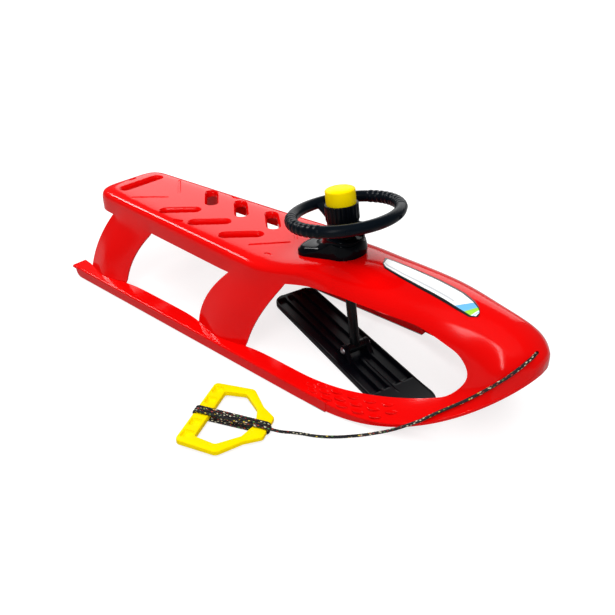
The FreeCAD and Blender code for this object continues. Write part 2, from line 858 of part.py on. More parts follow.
# ski: a ribbed tray with an upturned tip, two ears and a pin, drawn about the pin
base = ski_lift - pin_z
rear_heel = (ski_rear, 0, base + ski_heel_rise)
heel_front = (ski_rear + ski_heel, 0, base)
bend_low, bend_high = (ski_bend, 0, base), (ski_bend, 0, base + ski_edge)
tip_low = (ski_front, 0, base + ski_tip_rise)
tip_high = (ski_front - ski_heel_rise, 0, base + ski_tip_rise + ski_tip_thick)
tip_mid = mix(ski_bend, ski_front, 0.5)
side_line = Part.Wire(line((ski_rear, 0, base + ski_edge), rear_heel)
                      + [bezier(rear_heel, (ski_rear + ski_heel_rise, 0, base), heel_front)]
                      + line(heel_front, bend_low)
                      + [bezier(bend_low, (tip_mid, 0, base), tip_low)]
                      + line(tip_low, tip_high)
                      + [bezier(tip_high, (tip_mid, 0, base + ski_edge), bend_high)]
                      + line(bend_high, (ski_rear, 0, base + ski_edge)))
ski = Part.Face(side_line).extrude(V(0, 2 * ski_half, 0)).translate(V(0, -ski_half, 0))
ski_plan = rounded([(ski_rear, -ski_half), (ski_front, -ski_half),
                    (ski_front, ski_half), (ski_rear, ski_half)],
                   [ski_rear_corner, ski_front_corner, ski_front_corner, ski_rear_corner])
ski = ski.common(slab(ski_plan, 2 * base, -2 * base))
trough_low = base + ski_thick
groove_out = ski_mid_rib_half + ski_groove
troughs = []
for inner, outer in ((ski_mid_rib_half, groove_out), (groove_out + ski_rib, ski_half - ski_rib)):
    start, end = ski_rear + trough_end, ski_bend - trough_round
    trough = slab(rounded([(start, inner), (end, inner), (end, outer), (start, outer)], [trough_round] * 4),
                  trough_low, -2 * base)
    troughs += [trough, trough.mirror(V(0, 0, 0), Y_AXIS)]
ski = ski.cut(troughs)
ear_in = barrel_half + seat_gap
ear_out = ear_in + ear_thick
ear_low = trough_low - ski_thick / 4
ear_face = Part.Face(Part.Wire(line((-ear_foot, 0, ear_low), (ear_foot, 0, ear_low), (ear_r, 0, 0))
                               + [Part.Arc(V(ear_r, 0, 0), V(0, 0, ear_r), V(-ear_r, 0, 0)).toShape()]
                               + line((-ear_r, 0, 0), (-ear_foot, 0, ear_low))))
ear = ear_face.extrude(V(0, ear_thick, 0)).translate(V(0, ear_in, 0))
room = Part.makeBox(2 * barrel_room, 2 * ear_in, -2 * base, V(-barrel_room, -ear_in, trough_low))
ski = ski.fuse([ear, ear.mirror(V(0, 0, 0), Y_AXIS)]).cut(room)
ski = ski.cut(Part.makeCylinder(pin_r, 2 * ski_half, V(0, -ski_half, 0), Y_AXIS))
save("steering_ski", steered(level(ski)))

dome_r = (pin_head_r ** 2 + pin_head ** 2) / (2 * pin_head)
dome = Part.makeSphere(dome_r, V(0, -ear_out - pin_head + dome_r, 0))
dome_box = Part.makeBox(4 * dome_r, pin_head, 4 * dome_r, V(-2 * dome_r, -ear_out - pin_head, -2 * dome_r))
dome = dome.common(dome_box)
pin = Part.makeCylinder(pin_r, 2 * ear_out, V(0, -ear_out, 0), Y_AXIS)
save("ski_pin", steered(level(pin.fuse(dome).removeSplitter())))
save("ski_pin_cap", steered(level(dome.mirror(V(0, 0, 0), Y_AXIS))))

# tow handle on the floor, resting on the rope wound round it
handle_low = rope_floor + rope_r + rope_clear
handle_top = handle_low + bar_high
tip_top = handle_low + apex_high


def both_sides(points, radii):
    """A closed outline from the corners on one side, in order from the bar to the apex."""
    return rounded(points + [(x, -y) for x, y in reversed(points)], radii + radii[::-1])


outer_line = both_sides([(0, bar_half), (shoulder_at, shoulder_half), (apex_at - neck, apex_half + neck_out),
                         (apex_at, apex_half)], [8, 12, 16, 6])
inner_line = both_sides([(bar_width, bar_half - arm_width),
                         (shoulder_at - arm_width / 2, shoulder_half - arm_width),
                         (apex_at - neck - crotch, apex_half + crotch),
                         (apex_at - neck, apex_half - arm_width)], [5, 8, 6, 4])
handle = slab(outer_line, handle_low, handle_top).cut(slab(inner_line, 0, 2 * handle_top))
taper = side_prism(line((-bar_width, 0, handle_low), (2 * apex_at, 0, handle_low), (2 * apex_at, 0, tip_top),
                        (apex_at - apex_flat, 0, tip_top), (bar_width, 0, handle_top),
                        (-bar_width, 0, handle_top), (-bar_width, 0, handle_low)))
handle = handle.common(taper)
pockets = []
for at in (-2 * pocket_pitch, -pocket_pitch, pocket_pitch, 2 * pocket_pitch):
    near, far = pocket_inset, bar_width - pocket_inset
    low_y, high_y = at - pocket_half, at + pocket_half
    outline = [(near, low_y), (far, low_y), (far, high_y), (near, high_y)]
    pockets.append(slab(rounded(outline, [pocket_inset / 2] * 4), handle_top - pocket_depth, 2 * handle_top))

# the belt that the winding lies on: round over the bar, flat underneath, round over the apex
bar_r = (bar_high + rope_d + 2 * rope_clear) / 2
tip_r = (apex_high + rope_d + 2 * rope_clear) / 2
bar_c = V(bar_r - rope_r - rope_clear + wind_inset, 0, rope_floor + bar_r)
tip_c = V(apex_at - tip_r + rope_r + rope_clear - wind_inset, 0, rope_floor + tip_r)
tilt = 2 * math.atan2(bar_r - tip_r, tip_c.x - bar_c.x)
up = V(math.sin(tilt), 0, math.cos(tilt))
along = V(math.cos(tilt), 0, -math.sin(tilt))
inward = rope_r + rope_clear
bar_in, tip_in = bar_r - inward, tip_r - inward
bar_turn = Part.Arc(V(bar_c.x, 0, bar_c.z - bar_in), V(bar_c.x - bar_in, 0, bar_c.z), bar_c + up * bar_in)
tip_turn = Part.Arc(tip_c + up * tip_in, V(tip_c.x + tip_in, 0, tip_c.z), V(tip_c.x, 0, tip_c.z - tip_in))
belt = side_prism([bar_turn.toShape(), Part.makeLine(bar_c + up * bar_in, tip_c + up * tip_in),
                   tip_turn.toShape(),
                   Part.makeLine(V(tip_c.x, 0, tip_c.z - tip_in), V(bar_c.x, 0, bar_c.z - bar_in))])
belt_half = (rope_turns + 0.5) * rope_pitch / 2 + rope_clear
notch = Part.makeBox(2 * apex_at, 2 * belt_half, 2 * handle_top, V(-apex_at / 2, -belt_half, 0)).cut(belt)
handle = handle.cut(pockets + [notch])


def laid(shape):
    placed = shape.copy()
    placed.rotate(V(0, 0, 0), Z_AXIS, handle_turn)
    placed.translate(V(handle_x, handle_y, 0))
    return placed


save("tow_handle", laid(handle))

# rope wound on the handle, moving one rope's width aside each turn
first_y = -(rope_turns - 0.5) * rope_pitch / 2
bar_over, tip_over = bar_c + up * bar_r, tip_c + up * tip_r
lead_start = tip_over + along * rope_lead + V(0, first_y, 0)
edges = []
here = lead_start


def run_to(start, end):
    edges.append(Part.makeLine(start, end))
    return end


def half_turn(start, centre, radius, far):
    """Half a turn round an end of the handle, moving aside by half a pitch on the way."""
    rises = start.z < centre.z
    end = centre + up * radius if rises else V(centre.x, 0, centre.z - radius)
    end = V(end.x, start.y + rope_pitch / 2, end.z)
    middle = V(centre.x + far * radius, start.y + rope_pitch / 4, centre.z)
    edges.append(Part.Arc(start, middle, end).toShape())
    return end


for k in range(rope_turns):
    here = run_to(here, V(bar_over.x, here.y, bar_over.z))
    here = half_turn(here, bar_c, bar_r, -1)
    here = run_to(here, V(tip_c.x, here.y, rope_floor))
    if k < rope_turns - 1:
        here = half_turn(here, tip_c, tip_r, 1)
run_to(here, here + V(rope_tail, 0, 0))


def tube(path_edges, radius):
    path = Part.Wire(path_edges)
    first = path.Edges[0]
    at, way = first.valueAt(first.FirstParameter), first.tangentAt(first.FirstParameter)
    return path.makePipeShell([Part.Wire(Part.makeCircle(radius, at, way))], True, False), path


winding, winding_path = tube(edges, rope_r)
points = winding_path.discretize(Distance=rope_d / 3)
count = len(points)
least = min((points[a] - points[b]).Length for a in range(count) for b in range(a + 18, count))
print("winding: length %.0f, least gap to itself %.2f, volume against section x length %.4f"
      % (winding_path.Length, least - rope_d, winding.Volume / (math.pi * rope_r ** 2 * winding_path.Length)))
save("rope_winding", laid(winding))

# free rope: out of the nose, down the flank, over the rim and along the floor to the handle
to_handle = laid(Part.Vertex(lead_start)).Point
before_handle = laid(Part.Vertex(lead_start + along * rope_straight)).Point
route = [rope_start, hole_at + hole_way * hole_outside, V(476.4, -55.2, 153.3), V(466.6, -64.6, 140.5),
         V(449.6, -73, 120.3), V(432.8, -82, 101.8), V(412.2, -93.8, 82.6), V(393.2, -105.7, 66.9),
         V(378, -117.5, 52.8), V(369, -124.5, 46.3), V(351.5, -134.5, 33), V(334, -141, 20), V(314, -150, 9),
         V(296, -162.5, rope_floor), V(269, -191, rope_floor), V(244, -209, rope_floor), V(228, -217, 3.3),
         V(216, -229, 7.5), before_handle, to_handle]


def cord_path(stops):
    """Straight runs joined by tangent arcs, with their least radius."""
    path, radii, start = [], [], stops[0]
    for k in range(1, len(stops) - 1):
        back, ahead = stops[k - 1] - stops[k], stops[k + 1] - stops[k]
        short = min(back.Length, ahead.Length)
        half = back.getAngle(ahead) / 2
        back.normalize()
        ahead.normalize()
        reach = 0.45 * short
        radius = reach * math.tan(half)
        middle = stops[k] + (back + ahead).normalize() * (radius / math.sin(half) - radius)
        path.append(Part.makeLine(start, stops[k] + back * reach))
        path.append(Part.Arc(stops[k] + back * reach, middle, stops[k] + ahead * reach).toShape())
        start = stops[k] + ahead * reach
        radii.append(radius)
    path.append(Part.makeLine(start, stops[-1]))
    return path, radii


rope_edges, rope_radii = cord_path(route)
rope, rope_path = tube(rope_edges, rope_r)
print("rope: length %.0f, radii %s, volume against section x length %.4f"
      % (rope_path.Length, [round(r) for r in rope_radii],
         rope.Volume / (math.pi * rope_r ** 2 * rope_path.Length)))
save("tow_rope", rope)
# knot inside the nose, flat where it meets the rope
knot_at = route[0] - hole_way * (knot_r * 0.9)
knot = Part.makeSphere(knot_r, knot_at).cut(Part.makeCylinder(2 * knot_r, 2 * knot_r, route[0], hole_way))
save("rope_knot", knot)
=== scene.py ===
import math
import bmesh
import bpy
import numpy as np
from mathutils import Matrix, Vector


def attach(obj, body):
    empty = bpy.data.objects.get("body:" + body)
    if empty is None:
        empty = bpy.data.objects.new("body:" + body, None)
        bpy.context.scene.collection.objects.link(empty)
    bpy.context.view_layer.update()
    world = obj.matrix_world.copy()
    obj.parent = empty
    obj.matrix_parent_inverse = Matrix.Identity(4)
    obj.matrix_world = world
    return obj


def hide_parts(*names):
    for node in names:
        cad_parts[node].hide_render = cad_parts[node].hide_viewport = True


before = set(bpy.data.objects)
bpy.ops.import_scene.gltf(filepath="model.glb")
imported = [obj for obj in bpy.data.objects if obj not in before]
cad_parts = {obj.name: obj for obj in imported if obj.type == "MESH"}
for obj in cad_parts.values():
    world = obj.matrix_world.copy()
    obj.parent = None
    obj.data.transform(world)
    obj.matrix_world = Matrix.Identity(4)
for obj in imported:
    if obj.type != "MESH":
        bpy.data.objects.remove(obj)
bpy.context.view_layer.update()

scene = bpy.context.scene
scene.view_settings.view_transform = "Standard"


# Camera: at the photograph's viewing angle, above the right side of the bow, looking back along the sled.
# Its place and lens were fitted to the photograph for a sled that is one metre long.
lens = bpy.data.cameras.new("camera")
lens.lens = 38.65
lens.sensor_width = 36
camera = bpy.data.objects.new("camera", lens)
camera.location = (0.7339, -0.8007, 0.7163)
view_way = Vector((-0.5518, 0.6457, -0.5279))
camera.rotation_euler = view_way.to_track_quat("-Z", "Y").to_euler()
scene.collection.objects.link(camera)
scene.camera = camera


# Studio: a white paper floor in a bright room with four soft boxes. A large one hangs overhead, a long one
# stands on the far side, a narrow strip on the near side and a small one behind the tail.
class Ink:
    """One output of a shader node. Sums, products and comparisons of inks are nodes too."""
    def __init__(self, tree, out=None):
        self.tree = tree
        self.out = out

    def node(self, kind, inputs=None, out=0, **settings):
        """Adds a node by its type, the values or links of its sockets, and its settings, set first."""
        made = self.tree.nodes.new("ShaderNode" + kind)
        for name, value in settings.items():
            setattr(made, name, value)
        for name, value in (inputs or {}).items():
            if isinstance(value, Ink):
                self.tree.links.new(value.out, made.inputs[name])
            else:
                made.inputs[name].default_value = value
        return Ink(self.tree, made.outputs[out])

    def blend(self, share, first, second):
        """A colour a share of the way from the first to the second."""
        return self.node("Mix", {0: share, 6: first, 7: second}, out=2, data_type="RGBA")

    def maths(self, operation, other):
        return self.node("Math", {0: self, 1: other}, operation=operation)

    def __add__(self, other):
        return self.maths("ADD", other)

    def __mul__(self, other):
        return self.maths("MULTIPLY", other)

    def __gt__(self, other):
        return self.maths("GREATER_THAN", other)

    def __lt__(self, other):
        return self.maths("LESS_THAN", other)

    __radd__, __rmul__ = __add__, __mul__


def new_finish(name):
    """A material, and the ink that draws its nodes."""
    made = bpy.data.materials.new(name)
    made.use_nodes = True
    return made, Ink(made.node_tree)


def paint(pen, **inputs):
    """Sets or links the inputs of a finish's surface."""
    surface = pen.tree.nodes["Principled BSDF"]
    for name, value in inputs.items():
        socket = surface.inputs[name.replace("_", " ")]
        if isinstance(value, Ink):
            pen.tree.links.new(value.out, socket)
        else:
            socket.default_value = value


def grey(level):
    return (level, level, level, 1)


scene.world = bpy.data.worlds.new("room")
scene.world.use_nodes = True
air = Ink(scene.world.node_tree)
seen = air.node("LightPath", out="Is Camera Ray") + air.node("LightPath", out="Is Transmission Ray")
lighting = air.node("Background", {"Color": grey(1), "Strength": 0.14})
backdrop = air.node("Background", {"Color": grey(1), "Strength": 1.0})
room = air.node("MixShader", {0: seen, 1: lighting, 2: backdrop})
air.tree.links.new(room.out, air.tree.nodes["World Output"].inputs["Surface"])

paper, pen = new_finish("paper")
from_middle = pen.node("VectorMath", {0: pen.node("TexCoord", out="Object")}, out="Value", operation="LENGTH")
far_off = pen.node("MapRange", {"Value": from_middle, "From Min": 0.7, "From Max": 2.4})
shown = pen.blend(far_off, grey(0.76), grey(1))
glow = pen.blend(pen.node("LightPath", out="Is Camera Ray"), grey(0.106), shown)
paint(pen, Base_Color=grey(0.35), Roughness=0.9, Specular_IOR_Level=0.1, Emission_Color=glow,
      Emission_Strength=1.0)
half_floor = 8
corners = ((-1, -1), (1, -1), (1, 1), (-1, 1))
ground = bpy.data.meshes.new("floor")
ground.from_pydata([(half_floor * x, half_floor * y, 0) for x, y in corners], [], [(0, 1, 2, 3)])
ground.materials.append(paper)
floor = bpy.data.objects.new("floor", ground)
scene.collection.objects.link(floor)

soft_boxes = (
    ((0.9, -0.7, 2.6), 2.6, 2.6, 80, False),
    ((-1.1, 2.0, 1.1), 3.4, 1.4, 24, True),
    ((0.72, -1.9, 1.4), 0.2, 1.5, 12, True),
    ((-1.8, -0.2, 1.55), 0.5, 0.7, 22, True),
)
aim = Vector((0, 0, 0.15))
for at, wide, tall, watts, mirrored in soft_boxes:
    light = bpy.data.lights.new("soft_box", "AREA")
    light.shape = "RECTANGLE"
    light.size = wide
    light.size_y = tall
    light.energy = watts
    lamp = bpy.data.objects.new("soft_box", light)
    lamp.location = at
    lamp.visible_glossy = mirrored
    lamp.rotation_euler = (aim - Vector(at)).to_track_quat("-Z", "Y").to_euler()
    scene.collection.objects.link(lamp)


# Tow rope: a 5 mm braided cord, black with bright tracer yarns, knotted inside the nose. It hangs out of a
# hole beside the crest, crosses the rim, lies on the floor and is wound three times round the handle.
# Its line is one smooth spline on the points of the part's own route.
rope_r = 2.5
rope_z = 2.8
hole_at = Vector((487.9, -15, 169.6))
hole_way = Vector((0.3, -0.85, 0.42)).normalized()
handle_at = Matrix.Translation((66, -296, 0)) @ Matrix.Rotation(math.radians(22), 4, "Z")
bar_r, bar_x = 7.9, 7.0
tip_r, tip_x = 6.9, 120.0
lean = 2 * math.atan2(bar_r - tip_r, tip_x - bar_x)
along = Vector((math.cos(lean), 0, -math.sin(lean)))
upward = Vector((math.sin(lean), 0, math.cos(lean)))
bar_top = Vector((bar_x, 0, rope_z + bar_r)) + upward * bar_r
tip_top = Vector((tip_x, 0, rope_z + tip_r)) + upward * tip_r
past_bar = bar_r * (1 + math.sin(lean)) / math.cos(lean)
past_tip = tip_r * (1 - math.sin(lean)) / math.cos(lean)
one_turn = [(tip_top - along * tip_r, 0), (bar_top + along * bar_r, 0), (bar_top - along * past_bar, 0)]
for x in (bar_x - bar_r, bar_x + bar_r, tip_x - tip_r, tip_x + tip_r):
    one_turn.append((Vector((x, 0, rope_z)), 0.5))
one_turn.append((tip_top + along * past_tip, 1))
turns, pitch = 3, 5.7
first_y = -(turns - 0.5) * pitch / 2
coil = [tip_top + along * ahead + Vector((0, first_y, 0)) for ahead in (29, 12)]
for turn in range(turns):
    last = turn == turns - 1
    for place, across in one_turn[:6] if last else one_turn:
        coil.append(place + Vector((0, first_y + (turn + across) * pitch, 0)))
coil.append(Vector((tip_x + 9, coil[-1].y, rope_z)))
hanging = ((476.4, -55.2, 153.3), (466.6, -64.6, 140.5), (449.6, -73, 120.3), (432.8, -82, 101.8),
           (412.2, -93.8, 82.6), (393.2, -105.7, 66.9), (378, -117.5, 52.8), (369, -124.5, 46.3),
           (351.5, -134.5, 33), (334, -141, 20), (314, -150, 9))
lying = ((296, -162.5, rope_z), (269, -191, rope_z), (244, -209, rope_z), (228, -217, 3.3), (216, -229, 7.5))
route = [hole_at - hole_way * 12, hole_at + hole_way * 10]
route += [Vector(place) for place in hanging + lying]
route += [handle_at @ place for place in coil]


def as_made(thing):
    """The mesh of a new object with its modifiers, or the points of a curve; the object itself goes."""
    scene.collection.objects.link(thing)
    bpy.context.view_layer.update()
    mesh = bpy.data.meshes.new_from_object(thing.evaluated_get(bpy.context.evaluated_depsgraph_get()))
    bpy.data.objects.remove(thing)
    return mesh


curve = bpy.data.curves.new("rope_line", "CURVE")
curve.dimensions = "3D"
curve.resolution_u = 16
spline = curve.splines.new("NURBS")
spline.points.add(len(route) - 1)
for point, place in zip(spline.points, route):
    point.co = (*(place * 0.001), 1)
spline.order_u = 3
spline.use_endpoint_u = True
drawn = as_made(bpy.data.objects.new("rope_line", curve))
rope_line = np.array([v.co[:] for v in drawn.vertices]) * 1000


def quads(rows, columns, round_rows=False, round_columns=False):
    """Faces of a grid of points, in rows."""
    faces = []
    for i in range(rows if round_rows else rows - 1):
        for j in range(columns if round_columns else columns - 1):
            a, b = i * columns, (i + 1) % rows * columns
            faces.append((a + j, a + (j + 1) % columns, b + (j + 1) % columns, b + j))
    return faces


def mesh_of(points, faces):
    """A mesh from millimetre points, with its outside outwards."""
    made = bpy.data.meshes.new("mesh")
    made.from_pydata((np.asarray(points, float).reshape(-1, 3) * 0.001).tolist(), [], faces)
    made.validate()
    work = bmesh.new()
    work.from_mesh(made)
    bmesh.ops.recalc_face_normals(work, faces=work.faces)
    work.to_mesh(made)
    work.free()
    return made


def lofted(rings):
    """A closed solid through rings of the same number of points."""
    count, size = len(rings), len(rings[0])
    ends = [tuple(range(size)), tuple((count - 1) * size + k for k in reversed(range(size)))]
    return mesh_of(np.array(rings), quads(count, size, round_columns=True) + ends)


def piece(name, mesh, body, slot, finish, *nodes, sharp=40):
    """Puts a mesh in the scene as a piece that moves with a body and stands for the named nodes."""
    mesh.name = name
    mesh.polygons.foreach_set("use_smooth", [True] * len(mesh.polygons))
    mesh.set_sharp_from_angle(angle=math.radians(sharp))
    mesh.materials.clear()
    mesh.materials.append(finish)
    made = bpy.data.objects.new(name, mesh)
    scene.collection.objects.link(made)
    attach(made, body)
    if nodes:
        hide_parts(*nodes)
    return made


def unit(ways):
    """Directions made one long."""
    return ways / np.linalg.norm(ways, axis=-1, keepdims=True)


def full_turn(parts):
    """Angles evenly round a circle."""
    return np.arange(parts) * math.tau / parts


def length_along(line):
    """The length of a line up to each of its points."""
    return np.concatenate([[0], np.cumsum(np.linalg.norm(np.diff(line, axis=0), axis=1))])


def points_at(line, places):
    """Points on a line at the given lengths along it."""
    reach = length_along(line)
    return np.array([np.interp(places, reach, line[:, k]) for k in range(line.shape[1])]).T


def sweep(line, radius_at, sides):
    """Rings of points along a line, kept from twisting; radius_at takes the length so far and the angle."""
    angle = full_turn(sides)
    ways = unit(np.gradient(line, axis=0))
    side = np.cross(ways[0], (0.3, 0.2, 1))
    rings = []
    for here, ahead, far in zip(line, ways, length_along(line)):
        side = unit(side - ahead * side.dot(ahead))
        other = np.cross(ahead, side)
        r = radius_at(far, angle)
        rings.append(here + r[:, None] * (np.cos(angle)[:, None] * side + np.sin(angle)[:, None] * other))
    return np.array(rings)


yarns, yarn_lay, yarn_proud = 6, 24, 0.42
stitches = 97


def plait(far, angle):
    """How proud the yarn on top stands, and its number, at a length and angles of the cord."""
    a = yarns * (angle / math.tau + far / yarn_lay)
    b = yarns * (angle / math.tau - far / yarn_lay)
    over = (np.floor(a) + np.floor(b)) % 2 == 0
    lie = np.where(over, b, a) % 1
    number = (np.floor(a) * 37 + np.floor(b) * 61) % stitches
    return np.sin(math.pi * lie), number


def cord_radius(far, angle):
    return rope_r - yarn_proud + yarn_proud * plait(far, angle)[0]


cord_sides, ring_gap = 36, 0.8
lengths = length_along(rope_line)
even = np.arange(0, lengths[-1], ring_gap)
rope_mesh = lofted(sweep(points_at(rope_line, even), cord_radius, cord_sides))
dyes = np.array([(0.006, 0.007, 0.009, 1), (0.75, 0.7, 0.5, 1), (0.8, 0.6, 0.05, 1),
                 (0.12, 0.3, 0.08, 1), (0.45, 0.05, 0.03, 1)])
dye_shares = (0.84, 0.04, 0.045, 0.035, 0.04)
yarn_dyes = dyes[np.random.default_rng(3).choice(len(dyes), stitches, p=dye_shares)]
yarn_colours_painted_shade = []
for far in even:
    proud, number = plait(far, full_turn(cord_sides))
    tints_with_painted_shade = yarn_dyes[number.astype(int)]
    # Painted shade: each yarn's colour is darkened towards its edges, down to about a third, where it dips
    # under its neighbours.
    tints_with_painted_shade[:, :3] *= (0.35 + 0.65 * proud)[:, None]
    yarn_colours_painted_shade.append(tints_with_painted_shade)
yarn = rope_mesh.color_attributes.new("yarn", "FLOAT_COLOR", "POINT")
yarn.data.foreach_set("color", np.array(yarn_colours_painted_shade).ravel())
rope_finish, pen = new_finish("braided_cord")
fuzz = pen.node("TexNoise", {"Vector": pen.node("TexCoord", out="Object"), "Scale": 2600.0})
paint(pen, Base_Color=pen.node("Attribute", attribute_name="yarn", out="Color"), Roughness=0.5,
      Normal=pen.node("Bump", {"Height": fuzz, "Strength": 0.25, "Distance": 0.0003}))
rope = piece("rope", rope_mesh, "sled", "rope", rope_finish, "tow_rope", "rope_winding", sharp=180)


# Stopper knot: the end of the same cord, tied in an overhand knot and pulled tight against the inside of the
# nose wall, so that the rope can't slip out through its hole.
knot_r, knot_points, knot_sides = 1.35, 96, 14
t = np.linspace(0, math.tau, knot_points + 1)[:-1]
loop = np.array([np.sin(t) + 2 * np.sin(2 * t), np.cos(t) - 2 * np.cos(2 * t), -np.sin(3 * t)]).T
loop = loop * (0.62, 0.62, 0.9) + np.array(hole_at - hole_way * 15.15)
closed_loop = np.vstack([loop, loop[:1]])
loop_rings = sweep(closed_loop, lambda far, angle: np.full(len(angle), knot_r), knot_sides)
knot_mesh = mesh_of(loop_rings[:-1], quads(knot_points, knot_sides, True, True))
knot = piece("stopper_knot", knot_mesh, "sled", "rope", rope_finish, "rope_knot", sharp=180)
knot_dye = knot.data.color_attributes.new("yarn", "FLOAT_COLOR", "POINT")
knot_dye.data.foreach_set("color", np.tile(dyes[0], len(knot.data.vertices)))


# Tow handle: one yellow moulding, a bar with four shallow finger pockets and two arms that meet in a flat
# apex. The bar and the apex are rounded off under the rope that is wound round them.
def rounded(corners, parts=6):
    """A closed outline of the same number of points at each (x, y, radius) corner."""
    out = []
    for k, (x, y, r) in enumerate(corners):
        here = np.array((x, y), float)
        back, ahead = [unit(np.array(corners[(k + s) % len(corners)][:2]) - here) for s in (-1, 1)]
        half = math.acos(np.clip(back.dot(ahead), -1, 1)) / 2
        middle = here + unit(back + ahead) * r / math.sin(half)
        start = here + back * r / math.tan(half) - middle
        end = here + ahead * r / math.tan(half) - middle
        for s in np.linspace(0, 1, parts):
            out.append(middle + unit(start * (1 - s) + end * s) * r)
    return np.array(out)


def inset(outline, depth):
    """The outline moved to its left by depth."""
    ways = unit(np.roll(outline, -1, axis=0) - np.roll(outline, 1, axis=0))
    return outline + depth * np.array([-ways[:, 1], ways[:, 0]]).T


def both(half):
    """The corners of one half and of its mirror image."""
    return half + [(x, -y, r) for x, y, r in reversed(half)]


def lifted(outline, z):
    """A plane outline at a height, or at a height for each point."""
    return np.column_stack([outline, np.broadcast_to(z, len(outline))])


def joined(*meshes):
    """Several meshes as one."""
    work = bmesh.new()
    for mesh in meshes:
        work.from_mesh(mesh)
    made = bpy.data.meshes.new("mesh")
    work.to_mesh(made)
    work.free()
    return made


def carved(mesh, operation, tool):
    """The mesh with a tool's mesh cut from it or joined to it."""
    blank = bpy.data.objects.new("blank", mesh)
    cutter = bpy.data.objects.new("cutter", tool)
    scene.collection.objects.link(cutter)
    cut = blank.modifiers.new("cut", "BOOLEAN")
    cut.operation = operation
    cut.object = cutter
    cut.solver = "MANIFOLD"
    made = as_made(blank)
    bpy.data.objects.remove(cutter)
    return made


def placed(mesh, matrix):
    """Moves a mesh by a matrix whose shift is in millimetres."""
    small = matrix.copy()
    small.translation *= 0.001
    mesh.transform(small)
    return mesh


handle_low, bar_high, tip_drop = 5.7, 15.7, 2
handle_foot = 1.2
outer = rounded(both([(0, 73.5, 8), (71, 78.5, 12), (101, 42.5, 16), (126, 24.5, 6)]), 8)
inner = rounded(both([(26, 56.5, 5), (62.5, 61.5, 8), (93, 32.5, 6), (101, 7.5, 4)]), 8)
levels = []
for outline, inwards in ((outer, -1), (inner, 1)):
    rings = [lifted(inset(outline, inwards * handle_foot), handle_low)]
    rings.append(lifted(outline, handle_low + handle_foot))
    for depth, down in ((0, 2), (0.6, 0.6), (2, 0)):
        line = inset(outline, inwards * depth)
        rings.append(lifted(line, bar_high - tip_drop * np.clip((line[:, 0] - 26) / 88, 0, 1) - down))
    levels += rings if outline is outer else rings[::-1]
handle_mesh = mesh_of(levels, quads(len(levels), len(outer), True, True))
pockets = []
for y in (-56, -28, 28, 56):
    edge = rounded([(5, y - 8, 2.5), (21, y - 8, 2.5), (21, y + 8, 2.5), (5, y + 8, 2.5)])
    depths = ((1.8, -4.5), (0.6, -3.6), (-0.8, 0.2), (-0.8, 9))
    pockets.append(lofted([lifted(inset(edge, inwards), bar_high + up) for inwards, up in depths]))
rope_room, notch_half = 0.2, 10.3
bar_in, tip_in = bar_r - rope_r - rope_room, tip_r - rope_r - rope_room
half_turn = np.linspace(-math.pi / 2, -3 * math.pi / 2, 17)
belt = [(bar_x + bar_in * math.cos(a), rope_z + bar_r + bar_in * math.sin(a)) for a in half_turn]
belt += [(tip_x + tip_in * math.cos(a), rope_z + tip_r + tip_in * math.sin(a)) for a in half_turn - math.pi]
block = [(150 if k > 16 else -30, 60 if 8 < k < 26 else -10) for k in range(34)]
notch = [(-notch_half, block), (notch_half, block), (notch_half, belt), (-notch_half, belt)]
notch_mesh = mesh_of([[(x, y, z) for x, z in line] for y, line in notch], quads(4, 34, True, True))
handle_mesh = carved(handle_mesh, "DIFFERENCE", joined(*pockets))
handle_mesh = placed(carved(handle_mesh, "DIFFERENCE", notch_mesh), handle_at)


def moulded(name, colour, rough, grain=900.0, depth=0.00008, shine=0.5):
    """A moulded plastic: one colour a little uneven, and a faint grain."""
    made, pen = new_finish(name)
    place = pen.node("TexCoord", out="Object")
    cloud = pen.node("TexNoise", {"Vector": place, "Scale": 14.0, "Detail": 4.0})
    dark = tuple(0.9 * c for c in colour)
    fine = pen.node("TexNoise", {"Vector": place, "Scale": grain, "Detail": 2.0})
    paint(pen, Base_Color=pen.blend(cloud, (*dark, 1), (*colour, 1)), Roughness=rough - 0.04 + 0.08 * cloud,
          Specular_IOR_Level=shine,
          Normal=pen.node("Bump", {"Height": fine, "Strength": 0.12, "Distance": depth}))
    return made


yellow = moulded("yellow_plastic", (1.0, 0.74, 0.0), 0.35, shine=0.04)
handle = piece("handle", handle_mesh, "sled", "handle_yellow", yellow, "tow_handle", sharp=35)


# Shell: the seat, legs, runners, footrests and bow are one hollow red moulding with 4 mm walls. Its lines are
# curves along the sled; the walls are open between the legs and above the footrests.
wall = 4
half_beam, nose_x = 157, 500.4
rim_low, rim_soft = 3.5, 3.2
skirt_low, seat_high, bow_high = 145, 190, 214
seat_square, bow_square = 6.5, 1.95


def mix(a, b, t):
    return a + (b - a) * t


def step(x, start, end):
    """Rises smoothly from 0 to 1 between two places."""
    t = min(1.0, max(0.0, (x - start) / (end - start)))
    return t * t * (3 - 2 * t)


def beam(x):
    """Half the width over the runners."""
    return half_beam * math.sqrt(max(0.0, 1 - max(0.0, (x - 150) / (nose_x - 150)) ** 2))


def lift(x):
    """How far the rim has risen towards the nose."""
    return 132 * max(0.0, (x - 215) / (nose_x - 215)) ** 2.2


def rim_top(x):
    """The upper edge of the rim, which is lower at the footrests."""
    return rim_low + lift(x) + mix(21.5, 6, step(x, 150, 370))


def raised(x):
    """Where the inner side of the footrest stands up."""
    return step(x, 130, 240) * (1 - step(x, 390, 470))


def foot_half(x):
    """The inner side of the runner or footrest, from the middle."""
    return mix(beam(x) - 34, 0.585 * beam(x), step(x, 130, 360)) + 14 * raised(x)


def foot_z(x):
    """The height of that inner side."""
    return 25 + lift(x) - 15.5 * step(x, nose_x - 100, nose_x) + 10 * raised(x)


def arch_half(x):
    """Half the width of the seat and the bow."""
    share = mix(0.515, 0.585, step(x, 300, 440))
    return mix(mix(84, 107, (x + 430) / 430), share * beam(x), step(x, 0, 130))


